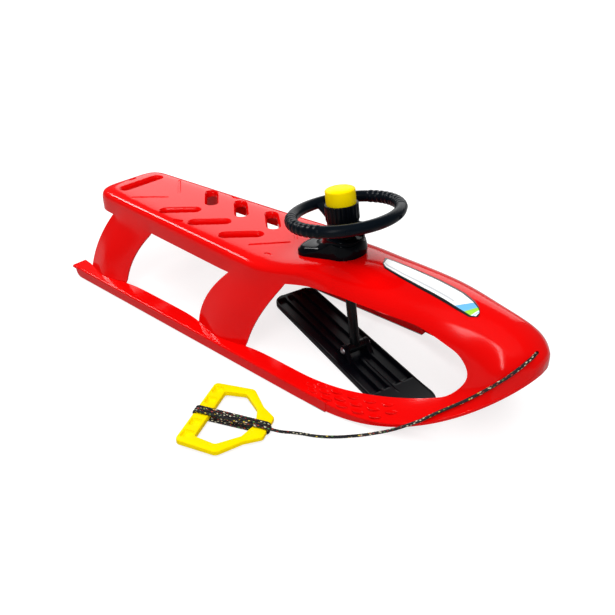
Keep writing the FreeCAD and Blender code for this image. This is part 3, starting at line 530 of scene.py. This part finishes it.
def arch_low(x):
    """The lower edge of the seat's skirt and of the bow."""
    side = mix(mix(skirt_low, 175, step(x, -80, 200)), 134, step(x, 310, 460))
    return side + 13 * step(x, 460, nose_x)


def crest(x):
    """The top along the middle."""
    rise = mix(seat_high, bow_high, step(x, 20, 210)) - 148
    return 148 + rise * math.sqrt(max(0.0, 1 - max(0.0, (x - 230) / (nose_x - 230)) ** 3))


def squareness(x):
    """The seat's section is nearly a box, the bow's a round arch."""
    return mix(seat_square, bow_square, step(x, 0, 210))


def roof(x, y):
    """The height of the seat or bow at a place in plan."""
    share = min(1.0, abs(y) / arch_half(x)) ** squareness(x)
    return mix(arch_low(x), crest(x), (1 - share) ** (1 / squareness(x)))


def bulge(x, s):
    """How far a leg's wall swells outwards, most at its foot."""
    low = 1 - s * s
    total = 0
    for rear, rear_sweep, front, front_sweep in ((-421, 45, -283, 60), (-48, 67, 78, 66)):
        rear, front = rear - rear_sweep * low, front - front_sweep * low
        total += 18 * low * math.exp(-1.2 * ((2 * x - rear - front) / (front - rear)) ** 2)
    return total


def at_nose(x, y, z, share):
    """Towards the nose the section fills out to one round curve from the rim to the crest."""
    full, turn = step(x, 395, 480), share * math.pi / 2
    side = beam(x) * (1 - rim_soft / half_beam)
    round_y = side * max(0.0, math.cos(turn)) ** (2 / 2.3)
    round_z = mix(rim_top(x), crest(x), math.sin(turn) ** (2 / 2.3))
    return (x, mix(y, round_y, full), mix(z, round_z, full))


def runner_line(x):
    """From the rim's lower edge, round the edge and over the runner or footrest to its inner side."""
    side, low, high = beam(x), rim_low + lift(x), rim_top(x)
    soft = rim_soft * side / half_beam
    line = [(x, side, low), (x, side, mix(low, high - soft, 0.5)), (x, side, high - soft)]
    for a in (0.39, 0.79, 1.18, 1.57):
        line.append((x, side - soft * (1 - math.cos(a)), high - soft * (1 - math.sin(a))))
    inner_side = foot_half(x) + bulge(x, 0)
    for t in (0.2, 0.4, 0.6, 0.8, 0.92, 1):
        line.append(at_nose(x, mix(side - soft, inner_side, t), mix(high, foot_z(x), t), 0.2 * t))
    return line


def wall_line(low_x, high_x, lean, bow):
    """Up a leg's edge, swept and leaning forward, or up the nose's flank, bowed forward."""
    line = []
    for turn in np.linspace(0, math.pi, 15):
        s = 0.5 - 0.5 * math.cos(turn)
        x = low_x + (high_x - low_x) * s * s + lean * s * (1 - s) + bow * math.sin(turn)
        y = mix(foot_half(x), arch_half(x), s) + bulge(x, s)
        z = mix(foot_z(x), arch_low(x), s)
        line.append(at_nose(x, y, z, 0.2 + 0.24 * s))
    return line


def arch_line(x, half, low, high, square):
    """From the skirt's lower edge up and over to the middle, a quarter of a squared oval."""
    corner = 0.5 ** (1 / square)
    outs = [math.cos(a) ** (2 / square) for a in np.linspace(0, math.pi / 4, 10)]
    outs += [corner * k / 15 for k in range(14, -1, -1)]
    line = []
    for out in outs:
        share = math.acos(min(1.0, out ** (square / 2))) * 2 / math.pi
        z = mix(low, high, (1 - min(1.0, out ** square)) ** (1 / square))
        line.append(at_nose(x, half * out, z, 0.44 + 0.56 * share))
    return line


# Stations of the shell: where each stretch starts on the runner and on the seat, how far its edge leans, how
# many rows it has, and what it is. Legs and the nose have walls between the two, gaps have none.
seat_back, end_long, end_square = -421, 59, 4.2
stretches = [
    (-500, None, 0, 5, "tail"),
    (-466, seat_back, 0, 14, "leg"),
    (-343, -283, 0, 26, "gap"),
    (-115, -48, 0, 15, "leg"),
    (12, 78, 28, 44, "gap"),
    (385, 385, 0, 28, "nose"),
    (500, 500, 0, 0, "end"),
]
runner_rows, arch_rows, walls = [], [], []
for (low0, high0, lean0, count, kind), (low1, high1, lean1, _, _) in zip(stretches, stretches[1:]):
    wall_rows = []
    for k in range(count + 1):
        w = k / count
        if kind == "nose":
            w = math.sin(w * math.pi / 2)
        low = mix(low0, low1, w)
        high = None if high0 is None else mix(high0, high1, w)
        if k < count or kind == "nose":
            runner_rows.append(runner_line(low))
            if high is not None:
                half, skirt = arch_half(high), arch_low(high)
                arch_rows.append(arch_line(high, half, skirt, crest(high), squareness(high)))
        if kind in ("leg", "nose"):
            bow = 29 * (1 - w) if kind == "nose" else 0
            wall_rows.append(wall_line(low, high, mix(lean0, lean1, w), bow))
    if wall_rows:
        walls.append(wall_rows)
ends = [math.acos(close ** (end_square / 2)) for close in (0, 0.25, 0.5, 0.7, 0.82)]
ends += [math.asin(far ** (end_square / 2)) for far in (0.8, 0.68, 0.52, 0.35, 0.17)]
end_rows = []
for a in ends:
    x = seat_back - end_long * math.sin(a) ** (2 / end_square)
    close = max(0.0, math.cos(a)) ** (2 / end_square) if a < 1.57 else 0.0
    top = mix(skirt_low, seat_high, 0.5 + 0.5 * close)
    end_rows.append(arch_line(x, arch_half(x) * close, skirt_low, top, seat_square))
points, faces = [], []
for sheet in [runner_rows, end_rows + arch_rows] + walls:
    for side in (1, -1):
        faces += [tuple(len(points) + k for k in face) for face in quads(len(sheet), len(sheet[0]))]
        points += [(x, side * y, z) for row in sheet for x, y, z in row]
tip = runner_rows[-1] + walls[-1][-1][1:] + arch_rows[-1][1:]
faces += [tuple(len(points) + k for k in face) for face in quads(2, len(tip))]
points += tip + [(x, -y, z) for x, y, z in tip]


def softened(v):
    """Whether a point is on the bow or low on a leg, clear of the runners and of open edges."""
    x, z = v.co.x * 1000, v.co.z * 1000
    low_on_leg = x > -405 and z < 166
    return not v.is_boundary and x < 495 and z > rim_top(x) + 5 and (x > 100 or low_on_leg)


shell_mesh = mesh_of(points, faces)
work = bmesh.new()
work.from_mesh(shell_mesh)
bmesh.ops.remove_doubles(work, verts=work.verts, dist=2e-5)
bmesh.ops.dissolve_degenerate(work, edges=work.edges, dist=1e-6)
flank = [v for v in work.verts if softened(v)]
for _ in range(24):
    bmesh.ops.smooth_vert(work, verts=flank, factor=0.5, use_axis_x=True, use_axis_y=True, use_axis_z=True)
bmesh.ops.recalc_face_normals(work, faces=work.faces)
highest = max(work.faces, key=lambda face: face.calc_center_median().z)
if highest.normal.z < 0:
    bmesh.ops.reverse_faces(work, faces=work.faces)
work.to_mesh(shell_mesh)
work.free()
blank = bpy.data.objects.new("blank", shell_mesh)
skin = blank.modifiers.new("wall", "SOLIDIFY")
skin.thickness = wall * 0.001
skin.offset = -1
skin.use_even_offset = True
skin.thickness_clamp = 1.2
edges = blank.modifiers.new("edges", "BEVEL")
edges.width = 0.0009
edges.segments = 2
edges.limit_method = "ANGLE"
edges.angle_limit = math.radians(55)
shell_mesh = as_made(blank)


# Added to the shell in the mould: keels under the runners, collars round the slots, the boss for the lower
# bush and the tread on the footrests. Taken out: slots, shallow marks in the seat, bores and the rope hole.
def slot_line(a, b, width, parts=10):
    """The outline of a slot with round ends between two points."""
    a, b = np.array(a, float), np.array(b, float)
    way = unit(b - a)
    side = np.array((-way[1], way[0]))
    half_round = [width / 2 * (way * math.cos(t) + side * math.sin(t))
                  for t in np.linspace(-math.pi / 2, math.pi / 2, parts)]
    return np.array([b + out for out in half_round] + [a - out for out in half_round])


def slot_solid(a, b, width, levels):
    """A solid on a slot's outline, from levels of (how much wider, height above the seat)."""
    return lofted([lifted(slot_line(a, b, width + more), seat_high + up) for more, up in levels])


def crosswise(*layers):
    """A solid across the sled, from layers of (y, outline in x and z)."""
    return lofted([[(x, y, z) for x, z in line] for y, line in layers])


def turned(profile, parts=64):
    """A ring from a closed outline of (radius, height) corners, about Z."""
    rings = [[(r * math.cos(a), r * math.sin(a), h) for r, h in profile] for a in full_turn(parts)]
    return mesh_of(rings, quads(parts, len(profile), True, True))


def turned_solid(profile, parts=64):
    """A solid through circles of (radius, height), flat at both ends."""
    return lofted([[(r * math.cos(a), r * math.sin(a), h) for a in full_turn(parts)] for r, h in profile])


pin_x, pin_z = 163.4, 25
rake, steered = math.radians(8.8), math.radians(20)
column_at = Matrix.Translation((pin_x, 0, pin_z)) @ Matrix.Rotation(-rake, 4, "Y")
steer_at = column_at @ Matrix.Rotation(-steered, 4, "Z")
collar = [(6, -2.4), (6, -12.5), (5, -14)]
through = [(20, 14), (12, 2.4), (7, -1), (4, -2.8), (1.9, -4.8), (0.6, -7), (0, -10), (0, -40)]


def shallow(depth):
    """The levels of a recess with a soft edge and a round bottom."""
    return [(6, 4), (2.2, 0.2), (0.8, -0.55 * depth), (-1.2, -0.85 * depth), (-3, -depth)]


slot_gap, slot_wide, end_slot_wide = 86, 20, 22
marks = (((-374, 64), (-318, 16), 4.6, 2.2), ((-33, 62), (14, 9), 4.6, 2.2),
         ((-219, 77.5), (-206, 74), 8, 5), ((13, 68), (21, 67), 7, 1.6))
added, taken = [], []
for side in (1, -1):
    for k in range(3):
        a, b = (-268 + slot_gap * k, side * 62), (-226 + slot_gap * k, side * 23)
        added.append(slot_solid(a, b, slot_wide, collar))
        taken.append(slot_solid(a, b, slot_wide, through))
    for a, b, width, depth in marks:
        taken.append(slot_solid((a[0], side * a[1]), (b[0], side * b[1]), width, shallow(depth)))
end_slot = ((-424, -41), (-424, 41), end_slot_wide)
added.append(slot_solid(*end_slot, collar))
taken.append(slot_solid(*end_slot, through))
taken.append(slot_solid((-458, -5), (-458, 7), 8, shallow(3.4)))
keel_low, keel_high, keel_wide, keel_mid = 3, 22.5, 15, 147.5
heel = [(-473 - 15 * math.sin(a), 18 - 15 * math.cos(a)) for a in np.linspace(0, math.pi / 2, 9)]
keel_side = [(220, keel_high), (220, keel_low)] + heel + [(-488, keel_high)]
for mid in (keel_mid, -keel_mid):
    added.append(crosswise((mid - keel_wide / 2, keel_side), (mid + keel_wide / 2, keel_side)))
heel_side = [(-530, -9), (-473, -9)] + heel + [(-488, 20), (-530, 20)]
taken.append(crosswise((-180, heel_side), (180, heel_side)))
boss = placed(turned_solid([(17.05, 142), (17.05, 181)], 48), column_at)
bush_bore = turned_solid([(12.05, 138), (12.05, 166), (13.05, 166.5), (13.05, 240)], 48)
taken.append(placed(bush_bore, column_at))
rope_hole = turned_solid([(2.9, -12), (2.9, 1), (3.5, 3), (5.5, 6)], 24)
hole_turn = hole_way.to_track_quat("Z", "X").to_matrix().to_4x4()
taken.append(placed(rope_hole, Matrix.Translation(hole_at) @ hole_turn))
for x in (-440, -125, 190):
    for side in (1, -1):
        rivet_hole = turned_solid([(2.5, -1), (2.5, 8)], 20)
        taken.append(placed(rivet_hole, Matrix.Translation((x, side * keel_mid, 0))))
drop_long, drop_wide = 10.5, 4.4


def foot_at(x, share):
    """A place on the footrest, a share of the way in from the rim."""
    return mix(beam(x), foot_half(x), share), mix(rim_top(x), foot_z(x), share)


def tread(x, share):
    """A teardrop that stands on the footrest and follows its slope."""
    y, z = foot_at(x, share)
    next_y, next_z = foot_at(x + 4, share)
    turn, climb = math.atan2(next_y - y, 4), math.atan2(next_z - z, 4)
    rings = []
    for r, up in ((1, -2), (1, 0), (0.93, 0.4), (0.75, 0.75), (0.45, 0.95), (0.1, 1.0)):
        ring = []
        for a in full_turn(20):
            fat = 1 - 0.35 * math.cos(a)
            ring.append((drop_long * r * math.cos(a), drop_wide * r * fat * math.sin(a), up))
        rings.append(ring)
    place = Matrix.Translation((x, y, z)) @ Matrix.Rotation(turn, 4, "Z") @ Matrix.Rotation(-climb, 4, "Y")
    return placed(lofted(rings), place)


treads = []
for row, share in enumerate((0.28, 0.55, 0.8)):
    for k in range(6 if row == 1 else 5):
        drop = tread(186 + 29 * k - 13 * (row == 1) + 4 * row, share - 0.02 * k)
        other = drop.copy()
        other.transform(Matrix.Diagonal((1, -1, 1, 1)))
        other.flip_normals()
        treads += [drop, other]
for extra in (joined(*added), boss, joined(*treads)):
    shell_mesh = carved(shell_mesh, "UNION", extra)
shell_mesh = carved(shell_mesh, "DIFFERENCE", joined(*taken))
work = bmesh.new()
work.from_mesh(shell_mesh)
bmesh.ops.dissolve_degenerate(work, edges=work.edges, dist=1e-5)
work.to_mesh(shell_mesh)
work.free()

red, pen = new_finish("red_plastic")
place = pen.node("TexCoord", out="Object")
cloud = pen.node("TexNoise", {"Vector": place, "Scale": 6.0, "Detail": 3.0})
tone = pen.blend(cloud, (0.7, 0.001, 0.001, 1), (0.8, 0.0015, 0.001, 1))
swirl = pen.node("TexNoise", {"Vector": place, "Scale": 55.0, "Detail": 2.0})
paint(pen, Base_Color=tone, Roughness=0.1 + 0.05 * cloud, Specular_IOR_Level=0.17,
      Normal=pen.node("Bump", {"Height": swirl, "Strength": 0.05, "Distance": 0.0006}))
shell = piece("shell", shell_mesh, "sled", "red_shell", red, "sled_body", sharp=42)
even_shade = shell.modifiers.new("even_shade", "WEIGHTED_NORMAL")
even_shade.keep_sharp = True


# Label on the bow: printed vinyl a quarter of a millimetre thick, stuck on beside the crest. It is white with
# a black edge, a grey line and plain blue and lime bands across its front end.
far_edge = [(205, 15), (223, 16.7), (253, 15.1), (311, 10.1), (358, 3.4), (380, -5), (392, -13), (398, -22)]
near_edge = [(213, -4), (224, -15.1), (260, -23.5), (300, -29.5), (338, -33.1), (364, -34.8), (388, -34.6),
             (398, -28)]
label_rows, label_columns, label_proud = 61, 17, 0.35


def edge_at(edge, s):
    """A point a share of the way along one edge of the label."""
    return np.array([np.interp(s * (len(edge) - 1), range(len(edge)), column) for column in zip(*edge)])


rows = []
for s in np.linspace(0, 1, label_rows):
    row = []
    for v in np.linspace(0, 1, label_columns):
        x, y = mix(edge_at(far_edge, s), edge_at(near_edge, s), v)
        slope_x = (roof(x + 1, y) - roof(x - 1, y)) / 2
        slope_y = (roof(x, y + 1) - roof(x, y - 1)) / 2
        row.append(np.array((x, y, roof(x, y))) + label_proud * unit(np.array((-slope_x, -slope_y, 1.0))))
    rows.append(row)
label_mesh = mesh_of(rows, quads(label_rows, label_columns))
if label_mesh.polygons[0].normal.z < 0:
    label_mesh.flip_normals()
shares = label_mesh.uv_layers.new(name="share")
for corner in label_mesh.loops:
    row, column = divmod(corner.vertex_index, label_columns)
    shares.data[corner.index].uv = (row / (label_rows - 1), column / (label_columns - 1))
vinyl, pen = new_finish("printed_vinyl")
length_way = pen.node("SeparateXYZ", {0: pen.node("UVMap", uv_map="share")}, out="X")
cross_way = pen.node("SeparateXYZ", {0: pen.node("UVMap", uv_map="share")}, out="Y")
slant = length_way + 0.06 * cross_way
printed = grey(0.95)
bands = ((0.74, 0.84, (0.16, 0.5, 0.85, 1)), (0.84, 0.91, (0.36, 0.72, 0.05, 1)),
         (0.945, 0.97, (0.3, 0.55, 0.85, 1)))
for start, end, colour in bands:
    printed = pen.blend((slant > start) * (slant < end), printed, colour)
grey_line = (slant > 0.08) * (slant < 0.68) * (cross_way > 0.66) * (cross_way < 0.74)
printed = pen.blend(grey_line, printed, (0.62, 0.64, 0.66, 1))
black_edge = (cross_way < 0.1) + (cross_way > 0.87) + (length_way < 0.035) + (length_way > 0.965)
printed = pen.blend(black_edge > 0.5, printed, (0.008, 0.008, 0.009, 1))
paint(pen, Base_Color=printed, Roughness=0.3, Coat_Weight=0.3)
label = piece("bow_label", label_mesh, "sled", "red_shell", vinyl)
thick = label.modifiers.new("vinyl", "SOLIDIFY")
thick.thickness = 0.00025
thick.offset = -1


# Glide strips: flat brushed steel under the keels, which the sled slides on. Each is held by three
# countersunk rivets. Strips and rivets are the part's own solids, with a finish.
def coat(finish, *names):
    """Gives the part's own solids a finish."""
    for name in names:
        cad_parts[name].data.materials.clear()
        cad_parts[name].data.materials.append(finish)


steel, pen = new_finish("brushed_steel")
stretched = pen.node("Mapping", {"Vector": pen.node("TexCoord", out="Object"), "Scale": (20, 900, 900)})
brush = pen.node("TexNoise", {"Vector": stretched, "Scale": 1.0, "Detail": 3.0})
paint(pen, Base_Color=(0.55, 0.56, 0.58, 1), Metallic=1.0, Roughness=0.25 + 0.2 * brush,
      Normal=pen.node("Bump", {"Height": brush, "Strength": 0.1, "Distance": 0.0001}))
coat(steel, *[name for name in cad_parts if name.startswith(("glide_strip", "strip_rivet"))])


# Console: a glossy black cover screwed to the deck, D-shaped in plan, that sweeps up into the tower which
# carries the upper bush. Its edge is rounded and sits a little into the deck.
gloss = moulded("glossy_black_plastic", (0.0015, 0.0025, 0.004), 0.1, 500.0, 0.00004, 0.08)
deck_h, tower_h, tower_r, bush_r = 182.9, 217.0, 34.5, 12.3
back_x, tower_x = 50, pin_x - deck_h * math.sin(rake)
front_x = tower_x + tower_r
lip_high, edge_round = 11, 9.5
plan = rounded([(back_x, 46, 26), (back_x, -46, 26), (tower_x - 6, -35.5, 30), (front_x, -34.5, 32.5),
                (front_x, 34.5, 32.5), (tower_x - 6, 35.5, 30)], 24)
plan = np.vstack([plan, plan[:1]])
plan = points_at(plan, np.linspace(0, length_along(plan)[-1], 181)[:-1])
slope = (crest(front_x) - crest(back_x)) / (front_x - back_x)


def at_height(h):
    """A point on the column's axis."""
    return np.array(column_at @ Vector((0, 0, h)))


def bend(t, a, b, c, d):
    """A smooth curve between a and d, drawn towards b and c."""
    return a * (1 - t) ** 3 + 3 * b * t * (1 - t) ** 2 + 3 * c * t * t * (1 - t) + d * t ** 3


def sweep_height(r):
    """How far up the column the flare's face is at a radius from it."""
    t = np.linspace(0, 1, 60)
    height = bend(t, deck_h + 2, deck_h + 5, deck_h + 9, tower_h)
    return np.interp(-r, -bend(t, 90, 52, 35.5, tower_r), height)


throat = ((bush_r, tower_h - 30), (bush_r, tower_h), (tower_r - 2, tower_h), (tower_r - 0.6, tower_h - 0.5),
          (tower_r, tower_h - 1.8))
rows = []
for edge in plan:
    foot = at_height(deck_h)[:2]
    reach = max(np.linalg.norm(edge - foot), tower_r + 0.2)
    way = unit(edge - foot)
    row = [at_height(h) + np.array((*way * r, 0)) for r, h in throat]
    for t in np.linspace(0.12, math.pi / 2, 30):
        r = tower_r + (reach - tower_r) * math.sin(t)
        at = at_height(sweep_height(r)) + np.array((*way * r, 0))
        lip = crest(back_x) + lip_high + (slope + 0.05) * (at[0] - back_x)
        gap = at[2] - lip
        at[2] = lip + 0.5 * (gap - 3 + math.sqrt(gap * gap + 60))
        inside = min(1.0, (reach - r) / 15)
        at[2] -= edge_round * (1 - math.sqrt(max(0.0, 1 - (1 - inside) ** 2))) * step(reach, 38, 56)
        row.append(at)
    rim = foot + way * reach
    sunk = roof(*rim) - 1.5
    row += [np.array((*rim, mix(row[-1][2], sunk, 0.5))), np.array((*rim, sunk)),
            np.array((*(rim - way * 3), sunk - 0.5))]
    rows.append(row)
rows = np.array(rows)
for _ in range(14):
    rows[:, 6:-4] += 0.25 * (np.roll(rows, 2, 0) + np.roll(rows, -2, 0) - 2 * rows)[:, 6:-4]
    rows[:, 6:-4] += 0.25 * (rows[:, 5:-5] + rows[:, 7:-3] - 2 * rows[:, 6:-4])
console_mesh = mesh_of(rows, quads(len(rows), len(rows[0]), True, True))
piece("console", console_mesh, "sled", "console_black", gloss, "steering_console", sharp=50)


# Column: a black-coated steel tube that turns in two white nylon bushes, one in the console's tower and one
# in the shell's boss. A steel washer and a spring clip hold it up.
coated = moulded("black_coated_steel", (0.003, 0.004, 0.005), 0.25, shine=0.2)
nylon = moulded("white_nylon", (0.8, 0.8, 0.77), 0.45)
coat(coated, "steering_column")
coat(nylon, "upper_bush", "lower_bush")
coat(steel, "column_washer", "column_clip")


# Wheel: one black moulding, an oval rim with ribbed grips left and right, a broad web in front, a spoke
# behind and a hub that narrows towards the tower. A steel bolt and washer hold it on the column.
hub_low, hub_high, web_h, rim_h = 221.5, 242.5, 233, 256.0
rim_mid, rim_long, rim_wide, rim_r = 12, 84, 92, 9.9
rim_parts, rim_sides = 288, 28
straight_up = np.array((0, 0, 1))
rings = []
for a in full_turn(rim_parts):
    at = np.array((rim_mid + rim_long * math.sin(a), rim_wide * math.cos(a), rim_h))
    out = unit(np.array((math.sin(a) / rim_long, math.cos(a) / rim_wide, 0)))
    from_side = math.degrees(math.asin(abs(math.sin(a))))
    grip = 1 - step(from_side, 31, 38)
    rib = abs(math.sin(from_side * math.pi / 7.0)) ** 0.6
    r = rim_r + grip * (1.5 * rib - 0.5)
    rings.append([at + r * (math.cos(b) * out + math.sin(b) * straight_up) for b in full_turn(rim_sides)])
rim_mesh = mesh_of(rings, quads(rim_parts, rim_sides, True, True))


def web(x0, half0, x1, half1, waist):
    """A flat arm with soft edges that climbs from the hub to the rim."""
    rings = []
    for t in np.linspace(0, 1, 19):
        half = mix(half0, half1, t) - waist * math.sin(math.pi * t)
        mid_z = mix(web_h, rim_h, t * t * (3 - 2 * t))
        ring = []
        for a in full_turn(40):
            c, s = math.cos(a), math.sin(a)
            ring.append((mix(x0, x1, t), half * math.copysign(abs(c) ** 0.4, c),
                         mid_z + 4.5 * math.copysign(abs(s) ** 0.6, s)))
        rings.append(ring)
    return lofted(rings)


wheel_mesh = turned([(9, hub_low), (19.4, hub_low), (20.2, hub_low + 0.4), (26.6, hub_low + 8.6),
                     (27, hub_low + 10), (27, hub_high - 0.8), (26.2, hub_high), (9, hub_high)], 72)
for extra in (web(14, 26, 96, 52, 2), web(-14, 12, -72, 14, 1), rim_mesh):
    wheel_mesh = carved(wheel_mesh, "UNION", extra)
housing_room = turned_solid([(28.7, hub_high), (28.7, hub_high + 40)], 72)
wheel_mesh = placed(carved(wheel_mesh, "DIFFERENCE", housing_room), steer_at)
rubbery = moulded("satin_black_plastic", (0.002, 0.004, 0.007), 0.3, shine=0.1)
piece("wheel", wheel_mesh, "steering", "wheel_black", rubbery, "steering_wheel", sharp=38)
coat(steel, "wheel_bolt", "wheel_washer")


# Horn: a fluted black housing bolted on the hub, a yellow cap that slides down into it, and inside it a soft
# rubber bellows that blows through a nylon reed.
black = moulded("black_plastic", (0.002, 0.003, 0.005), 0.35, shine=0.1)
ring_low, ring_high, ring_r, ring_bore = 242.6, 270, 28.5, 25.4
flutes, flute_parts = 22, 264
rows = []
for a in full_turn(flute_parts):
    groove = 1.3 * max(0.0, math.cos(flutes * a)) ** 0.7
    r = ring_r - groove
    row = [(4, ring_low), (r - 0.8, ring_low), (r, ring_low + 0.8), (r, ring_high - 1.9),
           (ring_r - groove * 0.5, ring_high - 1.1), (ring_r - 0.6, ring_high - 0.2),
           (ring_r - 1.3, ring_high), (ring_bore + 0.2, ring_high), (ring_bore, ring_high - 0.3),
           (ring_bore, ring_low + 3.9), (4, ring_low + 3.9)]
    rows.append([(q * math.cos(a), q * math.sin(a), h) for q, h in row])
housing_mesh = placed(mesh_of(rows, quads(flute_parts, len(rows[0]), True, True)), steer_at)
piece("horn_ring", housing_mesh, "steering", "wheel_black", black, "horn_housing", sharp=45)
cap_r, cap_in, cap_low, cap_edge = 25.2, 22.7, 253.5, 292.2
crown = [(cap_r * math.sin(a) ** 0.75, cap_edge + 5.1 * math.cos(a)) for a in np.linspace(0.02, 1.45, 12)]
cap_line = [(0.1, 295), (0.1, 297.4)] + crown
cap_line += [(cap_r, cap_edge - 0.7), (cap_r, cap_low + 0.5), (cap_r - 0.5, cap_low), (cap_in, cap_low),
             (cap_in, 288.5), (18, 292)]
cap_mesh = placed(turned(cap_line, 96), steer_at)
piece("horn_cap", cap_mesh, "horn", "horn_yellow", yellow, "horn_button", sharp=50)
rubber = moulded("soft_rubber", (0.02, 0.02, 0.02), 0.7)
bellows_low, bellows_high, bellows_wall, fold_count = 246.7, 283.2, 1.5, 4
folds = [(19.0 - 4 * (0.5 - 0.5 * math.cos(math.tau * t * fold_count)), mix(bellows_low, bellows_high, t))
         for t in np.linspace(0, 1, 65)]
bellows_line = folds + [(2, bellows_high), (2, bellows_high - bellows_wall)]
bellows_line += [(r - bellows_wall, h) for r, h in reversed(folds[:-2])]
bellows_mesh = placed(turned(bellows_line), steer_at)
piece("bellows", bellows_mesh, "steering", "bellows_rubber", rubber, "horn_bellows", sharp=180)
coat(nylon, "horn_reed")


# Ski: a black moulded tray with upright edges, a wide band down the middle between grooves, narrow ribs and
# an upturned tip. Two ears hold the steel pin that the column's cross barrel hangs on.
matt = moulded("matt_black_plastic", (0.0015, 0.002, 0.004), 0.32, shine=0.11)
ski_low = 3.6 - pin_z
half_ski, ski_back, ski_front = 47, -240, 200
tail_round, tip_round = 24, 42
ski_at = steer_at @ Matrix.Rotation(rake, 4, "Y")


def ski_half(x):
    """Half the ski's width, rounded at the tail and the tip."""
    rear = min(tail_round, max(0.0, ski_back + tail_round - x))
    front = min(tip_round, max(0.0, x - (ski_front - tip_round)))
    rear_in = tail_round - math.sqrt(tail_round ** 2 - rear ** 2)
    front_in = tip_round - math.sqrt(tip_round ** 2 - front ** 2)
    return half_ski - rear_in - front_in


def ski_bottom(x):
    """Height of the running face, which rises at the tail and the tip."""
    if x < -210:
        return ski_low + 4 * ((-210 - x) / 30) ** 2
    return ski_low + 10 * max(0.0, (x - 120) / 80) ** 2


def ski_top(x, v):
    """Height of the top face; v is the distance from the middle as if the ski were full width."""
    v = abs(v)
    full = ski_low + 11 + 6 * max(0.0, (x - 120) / 80) ** 2
    trough = 0.0
    for inner_v, outer_v, depth in ((5, 19, 5.4), (23, 43, 6)):
        trough = max(trough, depth * step(v, inner_v, inner_v + 1.6) * (1 - step(v, outer_v - 1.6, outer_v)))
    trough *= step(x, -230, -222) * (1 - step(x, 106, 116))
    rail = 0.6 * step(v, 43, 44.5)
    seam = 1.2 * (1 - step(v, 0.4, 1.3)) * step(x, 30, 40) * (1 - step(x, 124, 134))
    return full - trough - 0.6 + rail - seam


columns = [0, 0.6, 1.4, 3, 4.9, 5.8, 6.8, 9, 12, 15, 17.3, 18.2, 19.1, 20, 22.8, 23.8, 24.8, 28, 33, 38, 41.3,
           42.2, 43, 43.8, 44.6, 45.8]
columns = [-v for v in reversed(columns[1:])] + columns
stations = [ski_back + tail_round * (1 - math.cos(a)) for a in np.linspace(0.05, math.pi / 2, 9)]
stations += list(np.linspace(-213, 104, 54)) + list(range(106, 120, 2)) + list(range(120, 157, 4))
stations += [ski_front - tip_round + tip_round * math.sin(a) for a in np.linspace(0, 1.52, 12)]
rows = []
for x in stations:
    edge, low, top = ski_half(x), ski_bottom(x), ski_top(x, columns[-1])
    scale = edge / half_ski
    flank = [(46.6 * scale, top - 0.3), (edge, top - 1.2), (edge, mix(top, low, 0.5)), (edge, low + 1),
             (edge - 1, low), (edge * 0.5, low)]
    row = [(x, v * scale, ski_top(x, v)) for v in columns] + [(x, y, z) for y, z in flank]
    rows.append(row + [(x, 0, low)] + [(x, -y, z) for y, z in reversed(flank)])
ear_gap, ear_wide, ear_r = 18.3, 8.5, 10
ear_top = [(ear_r * math.cos(a), ear_r * math.sin(a)) for a in np.linspace(0.15, math.pi - 0.15, 17)]
ear = np.array([(-24, ski_low + 3.7), (24, ski_low + 3.7)] + ear_top)
ear_edge = inset(ear, 1)
ears = []
for low in (ear_gap, -ear_gap - ear_wide):
    high = low + ear_wide
    ears.append(crosswise((low, ear_edge), (low + 1, ear), (high - 1, ear), (high, ear_edge)))
ski_mesh = carved(lofted(rows), "UNION", joined(*ears))
barrel_side = [(-20, ski_low + 5), (20, ski_low + 5), (20, 20), (-20, 20)]
barrel_room = crosswise((-ear_gap, barrel_side), (ear_gap, barrel_side))
pin_bore = placed(turned_solid([(4, -60), (4, 60)], 32), Matrix.Rotation(math.pi / 2, 4, "X"))
for tool in (barrel_room, pin_bore):
    ski_mesh = carved(ski_mesh, "DIFFERENCE", tool)
piece("ski", placed(ski_mesh, ski_at), "ski", "ski_black", matt, "steering_ski", sharp=40)
coat(steel, "ski_pin", "ski_pin_cap")


bpy.context.view_layer.update()
